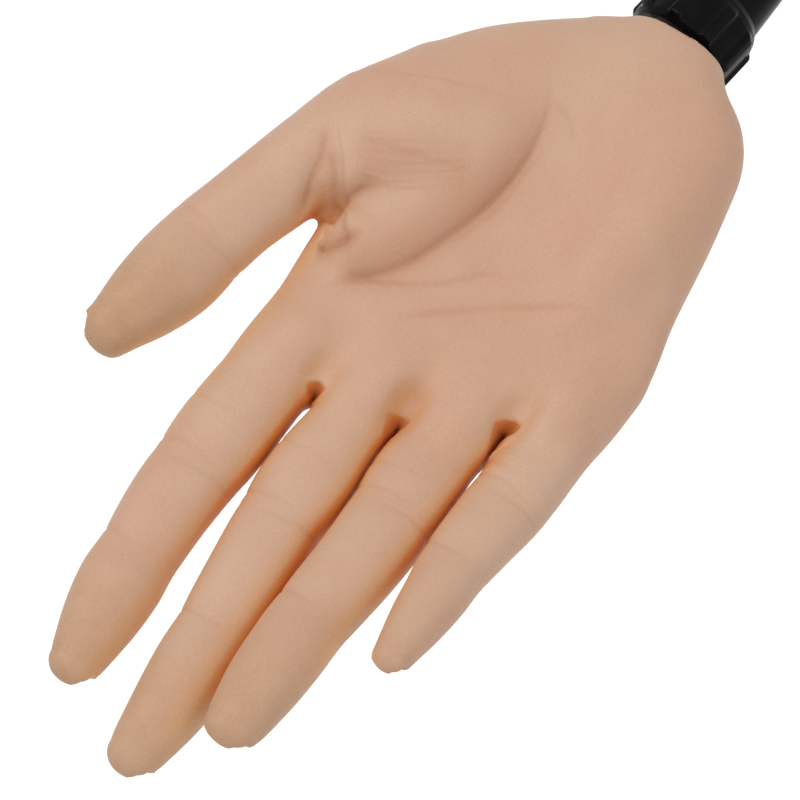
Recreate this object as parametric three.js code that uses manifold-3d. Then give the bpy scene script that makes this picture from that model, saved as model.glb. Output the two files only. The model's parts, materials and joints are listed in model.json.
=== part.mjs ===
// Nail practice hand: a silicone skin over a jointed skeleton, carried by a ball joint and a gooseneck
// on a table clamp. Millimetres, +Z up, fingers towards -Y, palm up, thumb on the -X side.
// The origin is where the clamp's upper pad lies on the table, under the arm's foot.
import * as THREE from "three";
import { mergeVertices } from "three/addons/utils/BufferGeometryUtils.js";
import Module from "manifold-3d";

const wasm = await Module();
wasm.setup();

// Driving dimensions of the stand
const armReach = 175; // from the foot's axis to the ball's centre
const armHeight = 236; // from the table to the ball's centre
const gooseneckBendRadius = 70;
const gooseneckRadius = 6.5;
const gooseneckRibPitch = 6.5;
const gooseneckRibDepth = 0.9;
const gooseneckSides = 8;
const gooseneckSplitAngle = 40; // degrees of the bend that belong to the lower gooseneck
const handTurn = 4.5; // degrees that the hand stands turned on its ball

const clampWidth = 26;
const clampJawLength = 36; // from the foot's axis to the jaw's tip
const clampThroat = 52;
const clampSpineInside = 5;
const clampSpineThickness = 10;
const clampFillet = 3; // inside the throat's corners
const clampCorner = 6; // outside the spine's corners
const clampJawThickness = 8;
const clampLowerJawThickness = 11;
const clampBossHeight = 4; // round the screw, below the lower jaw
const padThickness = 2;
const padMargin = 2; // from the jaw's tip to the pad
const padHalfWidth = 11.5;
const jawEdge = 3; // height of the upper jaw's thin edge
const jawTaper = 14; // from the upper jaw's tip to its full thickness
const lowerJawInset = 6; // of the lower jaw's tip behind the upper one's
const lowerJawTaper = 12; // from there, where the lower jaw is full
const screwRadius = 5;
const screwInset = 18; // from the foot's axis towards the jaw's tip
const screwLength = 71;
const gripGap = 24; // the table that the clamp holds at rest
const pressurePlateRadius = 12.5;
const pressurePlateThickness = 4;
const pressurePlateChamfer = 1.5;
const lowerPadStep = 1; // that the pad is narrower than the plate
const screwSeatDepth = 2; // of the screw's end in the pressure plate
const screwSeatStep = 1.5; // that the screw's end is narrower than the screw
const screwTenonStep = 2; // that the knob's end is narrower than the screw
const knobRadius = 17;
const knobLobes = 7;
const knobPointsPerLobe = 6;
const knobLobeDepth = 2.2;
const knobHeight = 12;
const footPinRadius = 7;
const footSocketRadius = 11.5;
const footSocketHeight = 16;
const footSocketFloor = 3; // of the socket's bottom above the jaw
const footCollarHeight = 6;
const footConeHeight = 17;
const footNeckHeight = 5; // of the foot's straight end round the gooseneck
const footPinChamfer = 0.6;
const footCollarChamfer = 1;

// Driving dimensions of the ball joint
const ballRadius = 7;
const ballNeckRadius = 3.5;
const linerThickness = 2;
const cupWall = 1.5;
const nutWall = 1.6;
const nutFront = 7.5; // from the ball's centre to the nut's face
const nutLength = 15;
const nutRibs = 9;
const nutRibHeight = 1;
const nutRibWidth = 3;
const nutRibTurn = 0.3; // radians from the side to the first rib
const nutEdge = 1.2; // chamfer round the nut's face
const nutMouthAngle = 50; // half angle of the cone that the ball's neck may sweep
const nutDomeLength = 3.4;
const nutDomeDrop = 1.9; // that the nut narrows over its dome
const coneRadius = 11.2;
const coneEndRadius = 9.7;
const coneLength = 17;
const coneChamfer = 2.5;
const coneFlare = 1.7; // from the nut's end to the cone's full width
const cupDepth = 2.5; // that the cup reaches past the ball's centre
const neckOverlap = 1; // that the neck's wide part starts inside the nut
const linerMargin = 3; // degrees from the nut's mouth to the liner
const linerEndAngle = 140; // degrees from the ball's front to the liner's end
const ferruleLength = 9;
const ferruleRadius = 8;
const wristGap = 3; // between the nut's face and the wrist, room for the hand to tilt
const studShankRadius = 3;
const studShankLength = 13;
const studChamfer = 0.5;
const studBoreRoom = 1.5; // between the stud's end and the bore's bottom
const insertRadius = 8;
const insertFlangeRadius = 10;
const insertFlangeThickness = 2.2;
const insertLength = 19;
const insertFace = 0.4; // of the insert's face below the wrist's end
const wristAxisHeight = -5; // the ball's axis in the hand's own height

// Driving dimensions of the skeleton
const gap = 0.3; // clearance between neighbouring pieces
const pinRadius = 1.1;
const knuckleRadius = 2.8;
const tongueHalfWidth = 1.3;
const earThickness = 1.3;
const boneRadius = 2.4;
const forkReach = 3.4; // from the pin to the fork's root
const forkRootThickness = 1.2;
const forkRootRadius = 3.1;
const strutWidth = 7;
const strutThickness = 4;
const strutInset = 3; // of the thumb bar's end in the boss
const plateInset = 6; // of the palm plate's root in the boss
const plateRootShare = 0.7; // of the boss's radius
const plateNotch = 9; // how deep the palm plate is notched between two fingers
const bossRadius = 11.5;
const bossLength = 16.5;
const bossDepth = 7; // of the boss's near face below the wrist
const seamHalfWidth = 1.3; // from a joint's pin to the rigid skin beside it
const tipBoneShare = 0.55; // of the last phalanx

// The hand's outline: sections across the palm, from the wrist's end to the roots of the fingers.
// The heel is how far the little finger's side rises, and the hollow is how far the middle sinks
const palmSections = [
  { y: 0, left: -6, right: 11, front: 4, back: -13, slope: 0, heel: 0, hollow: 0 },
  { y: -2, left: -10, right: 15, front: 8.5, back: -16, slope: 0, heel: 0, hollow: 0 },
  { y: -5, left: -15, right: 20, front: 12, back: -18.5, slope: 0, heel: 0.3, hollow: 0 },
  { y: -9, left: -22, right: 25.5, front: 14.5, back: -20, slope: 0, heel: 0.8, hollow: 0 },
  { y: -16, left: -29.5, right: 30.5, front: 16.5, back: -20.5, slope: 0, heel: 1.6, hollow: 0.3 },
  { y: -26, left: -38, right: 33, front: 16.5, back: -20, slope: 0, heel: 3.2, hollow: 1.2 },
  { y: -40, left: -44, right: 36, front: 15, back: -18.5, slope: 0.02, heel: 4.8, hollow: 2.8 },
  { y: -58, left: -44, right: 39, front: 12.5, back: -16.5, slope: 0.08, heel: 4.2, hollow: 2.8 },
  { y: -76, left: -40, right: 42.5, front: 11, back: -15, slope: 0.16, heel: 0.8, hollow: 1.6 },
  { y: -91, left: -37, right: 44, front: 10.5, back: -13.5, slope: 0.26, heel: 0, hollow: 0.4 },
  { y: -101, left: -35, right: 42, front: 9, back: -11.5, slope: 0.34, heel: 0, hollow: 0 },
  { y: -106, left: -31, right: 38, front: 5, back: -7.5, slope: 0.38, heel: 0, hollow: 0 },
];
const heelCentre = 22; // across the palm
const heelWidth = 10;
const hollowCentre = 1;
const hollowWidth = 12;

// Each digit: where its first joint lies in the hand, then one entry for each phalanx
const rootLength = 20; // of the digit inside the palm
const digits = [
  {
    name: "index",
    pivot: [-24.8, -120.5, -1],
    headings: [2, 6, 10],
    pitches: [1, 4, 6],
    lengths: [23, 21.7, 30.5],
    widths: { root: 22, base: 20.8, proximal: 20.4, knuckle: 20.4, middle: 19, joint: 18.4, pad: 17.4 },
    bends: [45, 55, 35],
  },
  {
    name: "middle",
    pivot: [-4.2, -117.5, -1],
    headings: [5, 10, 10.5],
    pitches: [3, 8, 10],
    lengths: [24.5, 28.5, 32.5],
    widths: { root: 19.5, base: 18, proximal: 18.6, knuckle: 19.2, middle: 18, joint: 17.6, pad: 16.8 },
    bends: [45, 55, 35],
  },
  {
    name: "ring",
    pivot: [15.2, -109.5, -1],
    headings: [7, 1.5, 5],
    pitches: [8, 15, 18],
    lengths: [18, 30, 32],
    widths: { root: 19.5, base: 18.8, proximal: 18.4, knuckle: 18.4, middle: 17.4, joint: 16.8, pad: 16 },
    bends: [45, 55, 35],
  },
  {
    name: "pinky",
    pivot: [34.3, -95.5, -1],
    headings: [1, 0, 7],
    pitches: [9, 17, 20],
    lengths: [15.5, 19, 29],
    widths: { root: 17.8, base: 17.2, proximal: 16.8, knuckle: 16.4, middle: 15, joint: 14.4, pad: 13.6 },
    bends: [45, 55, 35],
  },
  {
    name: "thumb",
    pivot: [-47.5, -71, 5],
    headings: [-12, -3],
    pitches: [0, 5],
    lengths: [31.5, 31.5],
    widths: { root: 27, base: 23, proximal: 20.8, knuckle: 21, pad: 20.4 },
    bends: [35, 40],
  },
];
const fingerThickness = 0.88; // of a finger's width
const palmarShare = 0.54; // of the thickness in front of the bone
const sectionPower = 2.3;
const palmPower = 2.7;
const thumbRoll = 24; // degrees that the thumb's pad turns towards the fingers
const fingerSides = 12;
const palmSides = 24;
const padProfile = [
  { along: 0.3, size: 0.99 },
  { along: 0.55, size: 0.97 },
  { along: 0.76, size: 0.86 },
  { along: 0.9, size: 0.62 },
  { along: 0.975, size: 0.3 },
];
const thenarSections = [
  { along: 0, width: 24, front: 12, back: 14 },
  { along: 0.3, width: 34, front: 17, back: 14 },
  { along: 0.62, width: 32, front: 15.5, back: 13 },
];
const thenarStart = [-20, -24, 0];
const thenarRootShare = 0.86; // of the way from there to the thumb's first joint
const thenarOverlap = 4; // past that joint

// Nail bed at each fingertip: a shallow seat whose root runs under the skin as a slot for a nail
const nailBedShare = 0.74; // of the fingertip's width
const nailBedLength = 0.42; // of the last phalanx
const nailBedDepth = 0.9;
const nailBedCurve = 0.62; // of the bed's width, its radius across
const nailRootDepth = 0.55; // of the bed's depth below the back
const nailBedPast = 2; // that the bed runs past its length

const degree = Math.PI / 180;
const skinColour = 0xd2a689;
const boneColour = 0xe6e2d6;
const blackPlastic = 0x17181a;
const blackMetal = 0x1d1d1f;
const steelColour = 0xb9bcc0;
const rubberColour = 0x202022;

function solidOf(geometry) {
  const bare = geometry.clone();
  bare.deleteAttribute("normal");
  bare.deleteAttribute("uv");
  const merged = mergeVertices(bare, 1e-4);
  return new wasm.Manifold(
    new wasm.Mesh({
      numProp: 3,
      vertProperties: merged.getAttribute("position").array,
      triVerts: new Uint32Array(merged.index.array),
    }),
  );
}

function geometryOf(solid) {
  const mesh = solid.getMesh();
  const geometry = new THREE.BufferGeometry();
  geometry.setAttribute("position", new THREE.BufferAttribute(mesh.vertProperties, 3));
  geometry.setIndex(new THREE.BufferAttribute(mesh.triVerts, 1));
  const flat = geometry.toNonIndexed();
  flat.computeVertexNormals();
  return flat;
}

const join = (first, ...rest) => rest.reduce((sum, next) => sum.add(next), first);
const cut = (first, ...rest) => rest.reduce((left, next) => left.subtract(next), first);

// A closed skin over rings that all hold the same number of points
function loft(rings) {
  const sides = rings[0].length;
  const positions = [];
  const indices = [];
  rings.forEach((ring) => ring.forEach((point) => positions.push(point.x, point.y, point.z)));
  for (let i = 0; i + 1 < rings.length; i++) {
    for (let j = 0; j < sides; j++) {
      const a = i * sides + j;
      const b = i * sides + ((j + 1) % sides);
      indices.push(a, b, b + sides, a, b + sides, a + sides);
    }
  }
  const cap = (ring, start, turned) => {
    const centre = ring.reduce((sum, point) => sum.add(point), new THREE.Vector3());
    centre.divideScalar(sides);
    const middle = positions.length / 3;
    positions.push(centre.x, centre.y, centre.z);
    for (let j = 0; j < sides; j++) {
      const next = (j + 1) % sides;
      if (turned) indices.push(middle, start + next, start + j);
      else indices.push(middle, start + j, start + next);
    }
  };
  cap(rings[0], 0, true);
  cap(rings[rings.length - 1], (rings.length - 1) * sides, false);
  const geometry = new THREE.BufferGeometry();
  geometry.setAttribute("position", new THREE.Float32BufferAttribute(positions, 3));
  geometry.setIndex(indices);
  return geometry;
}

// One point of a rounded section: across from -1 to 1 and up from -1 to 1
function roundedPoint(angle, power) {
  const c = Math.cos(angle);
  const s = Math.sin(angle);
  const bend = (value) => Math.sign(value) * Math.abs(value) ** (2 / power);
  return [bend(c), bend(s)];
}

// A frame whose -Y axis points along a heading (about Z, from -Y towards +X) and a pitch towards +Z
function linkBasis(heading, pitch, roll = 0) {
  const h = heading * degree;
  const p = pitch * degree;
  const forward = new THREE.Vector3(Math.sin(h) * Math.cos(p), -Math.cos(h) * Math.cos(p), Math.sin(p));
  const across = new THREE.Vector3(Math.cos(h), Math.sin(h), 0);
  across.applyAxisAngle(forward, -roll * degree);
  const rear = forward.clone().negate();
  const up = new THREE.Vector3().crossVectors(across, rear);
  return new THREE.Matrix4().makeBasis(across, rear, up);
}

const placed = (geometry, matrix) => geometry.clone().applyMatrix4(matrix);
const moved = (geometry, x, y, z) => geometry.clone().translate(x, y, z);
const alongY = (radius, length, sides) => new THREE.CylinderGeometry(radius, radius, length, sides);
const alongX = (radius, length, sides) => alongY(radius, length, sides).rotateZ(Math.PI / 2);

// A rod between two distances along the link's -Y axis
const rod = (radius, from, to, sides = 6) => moved(alongY(radius, to - from, sides), 0, -(from + to) / 2, 0);

// Points on an arc about the joint's pin, from one angle to another
function pinArc(radius, from, to, steps) {
  return Array.from({ length: steps + 1 }, (_, i) => {
    const angle = (from + ((to - from) * i) / steps) * degree;
    return [radius * Math.cos(angle), radius * Math.sin(angle)];
  });
}

// The fork and its pin, for a link that points along -Y towards the joint
function fork() {
  const earX = tongueHalfWidth + gap + earThickness / 2;
  const earHeight = knuckleRadius * 0.75;
  const earRoot = -forkReach - gap;
  const profile = [...pinArc(knuckleRadius, -90, 90, 5), [earRoot, earHeight], [earRoot, -earHeight]];
  const ears = [-1, 1].map((side) => moved(jointPrism(profile, earThickness / 2), side * earX, 0, 0));
  const pin = alongX(pinRadius, 2 * earX, 6);
  const root = rod(forkRootRadius, -forkReach - forkRootThickness, -forkReach);
  return join(...[...ears, pin, root].map(solidOf));
}

// The tongue that turns on the pin of the fork before it
function tongue() {
  const neckEnd = knuckleRadius + 1.2;
  const neckHeight = knuckleRadius * 0.68;
  const profile = [...pinArc(knuckleRadius, 90, 270, 5), [neckEnd, -neckHeight], [neckEnd, neckHeight]];
  const hole = alongX(pinRadius + 1.4 * gap, 3 * tongueHalfWidth, 6);
  return cut(solidOf(jointPrism(profile, tongueHalfWidth)), solidOf(hole));
}

const placedSolid = (solid, matrix) => solidOf(placed(geometryOf(solid), matrix));

// One bone in the hand's frame: a tongue on the hinge behind it, a shaft, and a fork for the next hinge
function boneSolid(link, hinge, next) {
  const shaftStart = knuckleRadius + 0.5;
  const shaftEnd = next ? link.length - forkReach - forkRootThickness / 2 : link.length * tipBoneShare;
  const shaft = solidOf(placed(rod(boneRadius, shaftStart, shaftEnd), link.matrix));
  const body = join(placedSolid(tongue(), hinge.after), shaft);
  return next ? join(body, placedSolid(fork(), next.before)) : body;
}

// Radius of the room round a fork's ears
const knuckleRoom = Math.hypot(tongueHalfWidth + gap + earThickness, knuckleRadius) + 1.5 * gap;

// Room that a bone needs inside its skin, from its tongue to its fork
function boneRoom(length, ending) {
  const shaftEnd = ending ? length * tipBoneShare + gap : length;
  const pocket = knuckleRadius + 0.5 + gap;
  const rooms = [rod(boneRadius + 1.2 * gap, -2, shaftEnd), rod(knuckleRoom, -12, pocket)];
  if (!ending) rooms.push(rod(knuckleRoom, length - forkReach - forkRootThickness - gap, length + 12));
  return join(...rooms.map(solidOf));
}

// A prism across a joint from an outline of [distance ahead, height] points
function jointPrism(points, halfWidth) {
  const outline = new THREE.Shape(points.map(([ahead, height]) => new THREE.Vector2(ahead, height)));
  const block = new THREE.ExtrudeGeometry(outline, { depth: 2 * halfWidth, bevelEnabled: false });
  const toLink = new THREE.Matrix4().makeBasis(
    new THREE.Vector3(0, -1, 0),
    new THREE.Vector3(0, 0, 1),
    new THREE.Vector3(-1, 0, 0),
  );
  return block.translate(0, 0, -halfWidth).applyMatrix4(toLink);
}

// How far the bevel on the palm's side lies from a joint at a given height
const bevelAt = (near, bend, height) => near + height * Math.tan((bend / 2) * degree);

// Everything on one side of a joint, bevelled on the palm's side so that the joint can bend
function sideBlock(side, bend, clearance) {
  const far = 60;
  const near = seamHalfWidth - clearance;
  const points = [
    [side * near, -far],
    [side * near, 0],
    [side * bevelAt(near, bend, far), far],
    [side * 3 * far, far],
    [side * 3 * far, -far],
  ];
  return jointPrism(points, far);
}

// What lies ahead of a joint's near bevel, within a width
function aheadBlock(bend, halfWidth) {
  const high = 26;
  const near = seamHalfWidth;
  const points = [
    [-near, -high],
    [-near, 0],
    [-bevelAt(near, bend, high), high],
    [2 * high, high],
    [2 * high, -high],
  ];
  return jointPrism(points, halfWidth);
}

// A frame at a hinge: X along the pin, -Y the way that the link beside it points
function hingeFrame(at, axis, forward) {
  const up = new THREE.Vector3().crossVectors(axis, forward.clone().negate()).normalize();
  const rear = new THREE.Vector3().crossVectors(up, axis);
  return new THREE.Matrix4().makeBasis(axis, rear, up).setPosition(at);
}

// The digit's bones in the hand: joints, link frames and centre line
function digitChain(digit) {
  const roll = digit.name === "thumb" ? thumbRoll : 0;
  const joints = [new THREE.Vector3(...digit.pivot)];
  const links = digit.lengths.map((length, i) => {
    const basis = linkBasis(digit.headings[i], digit.pitches[i], roll);
    const start = joints[i];
    const forward = new THREE.Vector3(0, -1, 0).applyMatrix4(basis);
    joints.push(start.clone().addScaledVector(forward, length));
    return { basis, length, forward, matrix: basis.clone().setPosition(start) };
  });
  const hinges = links.map((link, i) => {
    const before = links[Math.max(i - 1, 0)];
    const across = new THREE.Vector3(1, 0, 0).applyMatrix4(link.basis);
    const acrossBefore = new THREE.Vector3(1, 0, 0).applyMatrix4(before.basis);
    const axis = across.add(acrossBefore).normalize();
    const at = joints[i];
    return {
      axis,
      at,
      before: hingeFrame(at, axis, before.forward),
      after: hingeFrame(at, axis, link.forward),
    };
  });
  return { joints, links, hinges };
}

// One ring of a digit's skin, across its centre line
function digitRing(centre, basis, width, front, back) {
  const points = [];
  for (let j = 0; j < fingerSides; j++) {
    const [across, up] = roundedPoint((2 * Math.PI * (j + 0.5)) / fingerSides, sectionPower);
    const height = up > 0 ? up * front : up * back;
    points.push(new THREE.Vector3((across * width) / 2, 0, height).applyMatrix4(basis).add(centre));
  }
  return points;
}

// The whole skin of a digit, root to tip, in the hand's frame
function digitSkin(digit, chain) {
  const { widths, headings, pitches } = digit;
  const halfway = digit.lengths.length === 3 ? ["knuckle", "middle", "joint"] : ["knuckle"];
  const names = ["base", "proximal", ...halfway];
  const rings = [];
  const ring = (centre, basis, width, scale = 1) => {
    const thickness = width * fingerThickness * scale;
    const [front, back] = [thickness * palmarShare, thickness * (1 - palmarShare)];
    rings.push(digitRing(centre, basis, width * scale, front, back));
  };
  const meanBasis = (i) => {
    const from = Math.max(i - 1, 0);
    const roll = digit.name === "thumb" ? thumbRoll : 0;
    return linkBasis((headings[from] + headings[i]) / 2, (pitches[from] + pitches[i]) / 2, roll);
  };
  const first = chain.links[0];
  ring(chain.joints[0].clone().addScaledVector(first.forward, -rootLength), first.basis, widths.root);
  names.forEach((name, i) => {
    const link = chain.links[Math.floor(i / 2)];
    const atJoint = i % 2 === 0;
    const centre = chain.joints[Math.floor(i / 2)].clone();
    if (!atJoint) centre.addScaledVector(link.forward, link.length / 2);
    ring(centre, atJoint ? meanBasis(i / 2) : link.basis, widths[name]);
  });
  const last = chain.links[chain.links.length - 1];
  const lastJoint = chain.joints[chain.joints.length - 2];
  padProfile.forEach(({ along, size }) => {
    const centre = lastJoint.clone().addScaledVector(last.forward, along * last.length);
    ring(centre, last.basis, widths.pad, size);
  });
  return loft(rings);
}

// The seat of a nail on the back of a fingertip
function nailSeat(digit, chain) {
  const last = chain.links[chain.links.length - 1];
  const width = digit.widths.pad * nailBedShare;
  const back = digit.widths.pad * fingerThickness * (1 - palmarShare);
  const length = last.length * nailBedLength;
  const curve = width * nailBedCurve;
  const reach = length + 4 * nailBedPast;
  const seat = alongY(curve, reach, 16);
  const core = alongY(curve - nailBedDepth, reach + 1, 16);
  const shell = cut(solidOf(seat), solidOf(core));
  const window = solidOf(moved(new THREE.BoxGeometry(width, reach, curve), 0, 0, -curve));
  const along = last.length - length / 2 + nailBedPast;
  const place = last.matrix.clone().multiply(
    new THREE.Matrix4().makeTranslation(0, -along, curve - back + nailBedDepth * nailRootDepth),
  );
  return placedSolid(shell.intersect(window), place);
}

// The palm, from the wrist's end to the roots of the fingers
function palmLoft() {
  const swell = (x, centre, width) => Math.exp(-(((x - centre) / width) ** 2));
  const rings = palmSections.map(({ y, left, right, front, back, slope, heel, hollow }) => {
    const points = [];
    const middle = (left + right) / 2;
    const half = (right - left) / 2;
    for (let j = 0; j < palmSides; j++) {
      const [across, up] = roundedPoint((2 * Math.PI * (j + 0.5)) / palmSides, palmPower);
      const x = middle + across * half;
      const relief = heel * swell(x, heelCentre, heelWidth) - hollow * swell(x, hollowCentre, hollowWidth);
      const height = (front + back) / 2 + (up * (front - back)) / 2 + Math.max(up, 0) * relief;
      points.push(new THREE.Vector3(x, y + slope * x, height));
    }
    return points;
  });
  return loft(rings);
}

// The ball of the thumb, from the wrist to a little past the thumb's first joint
function thenarLoft(thumb, chain) {
  const start = new THREE.Vector3(...thenarStart);
  const end = chain.joints[0];
  const heading = Math.atan2(end.x - start.x, start.y - end.y) / degree;
  const rings = thenarSections.map(({ along, width, front, back }) =>
    digitRing(start.clone().lerp(end, along), linkBasis(heading, 0, thumbRoll / 2), width, front, back),
  );
  const full = (centre, basis, width) => {
    const thickness = width * fingerThickness;
    rings.push(digitRing(centre, basis, width, thickness * palmarShare, thickness * (1 - palmarShare)));
  };
  const turned = linkBasis((heading + thumb.headings[0]) / 2, 0, thumbRoll);
  full(start.clone().lerp(end, thenarRootShare), turned, thumb.widths.root);
  const last = chain.links[0];
  full(end.clone().addScaledVector(last.forward, thenarOverlap), last.basis, thumb.widths.base);
  return loft(rings);
}

// A flat bar between two points
function strut(from, to, clearance) {
  const span = to.clone().sub(from);
  const length = span.length();
  const forward = span.divideScalar(length);
  const across = new THREE.Vector3(-forward.y, forward.x, 0).normalize();
  const up = new THREE.Vector3().crossVectors(across, forward.clone().negate());
  const basis = new THREE.Matrix4().makeBasis(across, forward.clone().negate(), up);
  const bar = new THREE.BoxGeometry(strutWidth + 2 * clearance, length, strutThickness + 2 * clearance);
  return placed(bar, basis.setPosition(from.clone().lerp(to, 0.5)));
}

// The flat plate that spreads from the boss to the forks of the four fingers
function palmPlate(chains, clearance) {
  const lugHalf = strutWidth / 2;
  const bossEnd = -bossDepth - bossLength;
  const fingerChains = chains.filter((chain) => chain.links.length === 3);
  const lugs = fingerChains.map(({ joints, hinges, links }) => {
    const centre = joints[0].clone().addScaledVector(links[0].forward, -(forkReach + forkRootThickness));
    return [-1, 1].map((side) => centre.clone().addScaledVector(hinges[0].axis, side * lugHalf));
  });
  const plateRoot = [bossRadius * plateRootShare, bossEnd + plateInset];
  const points = [[-plateRoot[0], plateRoot[1]]];
  lugs.forEach(([left, right], i) => {
    points.push([left.x, left.y], [right.x, right.y]);
    const next = lugs[i + 1];
    if (next) points.push([(right.x + next[0].x) / 2, (right.y + next[0].y) / 2 + plateNotch]);
  });
  points.push(plateRoot);
  const outline = new THREE.Shape(points.map(([x, y]) => new THREE.Vector2(x, y)));
  const bevel = { bevelThickness: clearance, bevelSize: clearance, bevelSegments: 1 };
  const options = { depth: strutThickness, bevelEnabled: clearance > 0, ...bevel };
  const plate = new THREE.ExtrudeGeometry(outline, options);
  return plate.translate(0, 0, fingerChains[0].joints[0].z - strutThickness / 2);
}

// The frame in the palm: a boss round the insert, a plate to the fingers' forks and a bar to the thumb's
function palmFrameParts(chains, clearance) {
  const boss = alongY(bossRadius + clearance, bossLength + 2 * clearance, 16);
  boss.translate(0, -bossDepth - bossLength / 2, wristAxisHeight);
  const parts = [boss, palmPlate(chains, clearance)];
  const rootBack = forkReach + forkRootThickness;
  chains.forEach((chain) => {
    const before = chain.hinges[0].before;
    if (chain.links.length === 2) {
      const from = new THREE.Vector3(0, -bossDepth - bossLength + strutInset, wristAxisHeight + strutInset);
      const base = chain.joints[0].clone().addScaledVector(chain.links[0].forward, -rootBack);
      parts.push(strut(from, base, clearance));
    }
    const solidRoot = rod(forkRootRadius, -rootBack, -forkReach);
    const rootRoom = rod(knuckleRoom, -rootBack - 2, 12);
    parts.push(placed(clearance ? rootRoom : solidRoot, before));
  });
  return parts.map(solidOf);
}

const root = new THREE.Group();
const hand = new THREE.Group();
const handOnBall = new THREE.Group();
const ball = new THREE.Vector3(0, -armReach, armHeight);
const ballInHand = new THREE.Vector3(0, nutFront + wristGap, wristAxisHeight);
handOnBall.position.copy(ball);
handOnBall.rotation.z = handTurn * degree;
hand.position.copy(ballInHand).negate();
handOnBall.add(hand);
root.add(handOnBall);

function addPiece(parent, name, geometry, colour, roughness, metalness = 0) {
  const material = new THREE.MeshStandardMaterial({ color: colour, roughness, metalness });
  const mesh = new THREE.Mesh(geometry, material);
  mesh.name = name;
  parent.add(mesh);
  return mesh;
}
const addSkin = (name, solid) => addPiece(hand, name, geometryOf(solid), skinColour, 0.62);

// A group at each hinge, its X axis along the pin
function addHinge(parent, name, at, axis) {
  const group = new THREE.Group();
  group.name = name;
  group.position.copy(at);
  group.quaternion.setFromUnitVectors(new THREE.Vector3(1, 0, 0), axis);
  parent.add(group);
}

const segmentNames = { 3: ["proximal", "middle", "tip"], 2: ["proximal", "tip"] };
const jointNames = { 3: ["mcp", "pip", "dip"], 2: ["mcp", "ip"] };
const chains = digits.map(digitChain);

// Palm: one skin with the roots of all digits, hollow for the frame and the insert
function buildPalm() {
  let skin = solidOf(palmLoft());
  digits.forEach((digit, i) => {
    const whole = digit.name === "thumb" ? thenarLoft(digit, chains[i]) : digitSkin(digit, chains[i]);
    const hinge = chains[i].hinges[0];
    const behind = placed(sideBlock(-1, digit.bends[0], 0), hinge.before);
    skin = skin.add(solidOf(whole).intersect(solidOf(behind)));
  });
  digits.forEach((digit, i) => {
    const ahead = aheadBlock(digit.bends[0], digit.widths.base / 2 + 2 * gap);
    skin = skin.subtract(solidOf(placed(ahead, chains[i].hinges[0].before)));
  });
  const room = (radius, depth) => {
    const length = depth + 10;
    return solidOf(moved(alongY(radius + gap, length, 16), 0, length / 2 - depth, wristAxisHeight));
  };
  const insertRoom = room(insertRadius, insertLength);
  const flangeRoom = room(insertFlangeRadius, insertFlangeThickness + 2 * gap);
  skin = cut(skin, ...palmFrameParts(chains, gap), insertRoom, flangeRoom);
  addSkin("palm_skin", skin);

  let frame = join(...palmFrameParts(chains, 0));
  chains.forEach((chain) => {
    frame = frame.add(placedSolid(fork(), chain.hinges[0].before));
  });
  addPiece(hand, "palm_frame", geometryOf(cut(frame, insertRoom)), boneColour, 0.55);
}

function buildDigit(digit, chain) {
  const count = digit.lengths.length;
  const whole = solidOf(digitSkin(digit, chain));
  const rooms = chain.links.map((link, i) =>
    placedSolid(boneRoom(link.length, i === count - 1), link.matrix),
  );
  const hollow = cut(whole, ...rooms);
  const wholeWithSeat = cut(hollow, nailSeat(digit, chain));
  segmentNames[count].forEach((segment, i) => {
    const hinge = chain.hinges[i];
    const next = chain.hinges[i + 1];
    const source = i === count - 1 ? wholeWithSeat : hollow;
    let piece = source.intersect(solidOf(placed(sideBlock(1, digit.bends[i], 0), hinge.after)));
    if (next) {
      piece = piece.intersect(solidOf(placed(sideBlock(-1, digit.bends[i + 1], 0), next.before)));
    }
    addSkin(`${digit.name}_${segment}_skin`, piece);

    const before = solidOf(placed(sideBlock(-1, digit.bends[i], gap), hinge.before));
    const after = solidOf(placed(sideBlock(1, digit.bends[i], gap), hinge.after));
    addSkin(`${digit.name}_${jointNames[count][i]}_sleeve`, largest(cut(hollow, before, after)));

    const bone = placedSolid(boneSolid(chain.links[i], hinge, next), chain.links[i].matrix.clone().invert());
    const boneMesh = addPiece(hand, `${digit.name}_${segment}_bone`, geometryOf(bone), boneColour, 0.5);
    boneMesh.applyMatrix4(chain.links[i].matrix);
    addHinge(hand, `${digit.name}_${jointNames[count][i]}`, hinge.at, hinge.axis);
  });
}

// The largest body of a solid that a cut has left in several
function largest(solid) {
  const bodies = solid.decompose();
  return bodies.reduce((best, body) => (body.volume() > best.volume() ? body : best));
}

// A lathe about the Y axis from points [radius, distance]
function lathe(points, sides) {
  const profile = points.map(([radius, along]) => new THREE.Vector2(radius, along));
  return new THREE.LatheGeometry(profile, sides);
}

function arcPoints(radius, from, to, steps) {
  return Array.from({ length: steps + 1 }, (_, i) => {
    const angle = (from + ((to - from) * i) / steps) * degree;
    return [radius * Math.sin(angle), -radius * Math.cos(angle)];
  });
}

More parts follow.
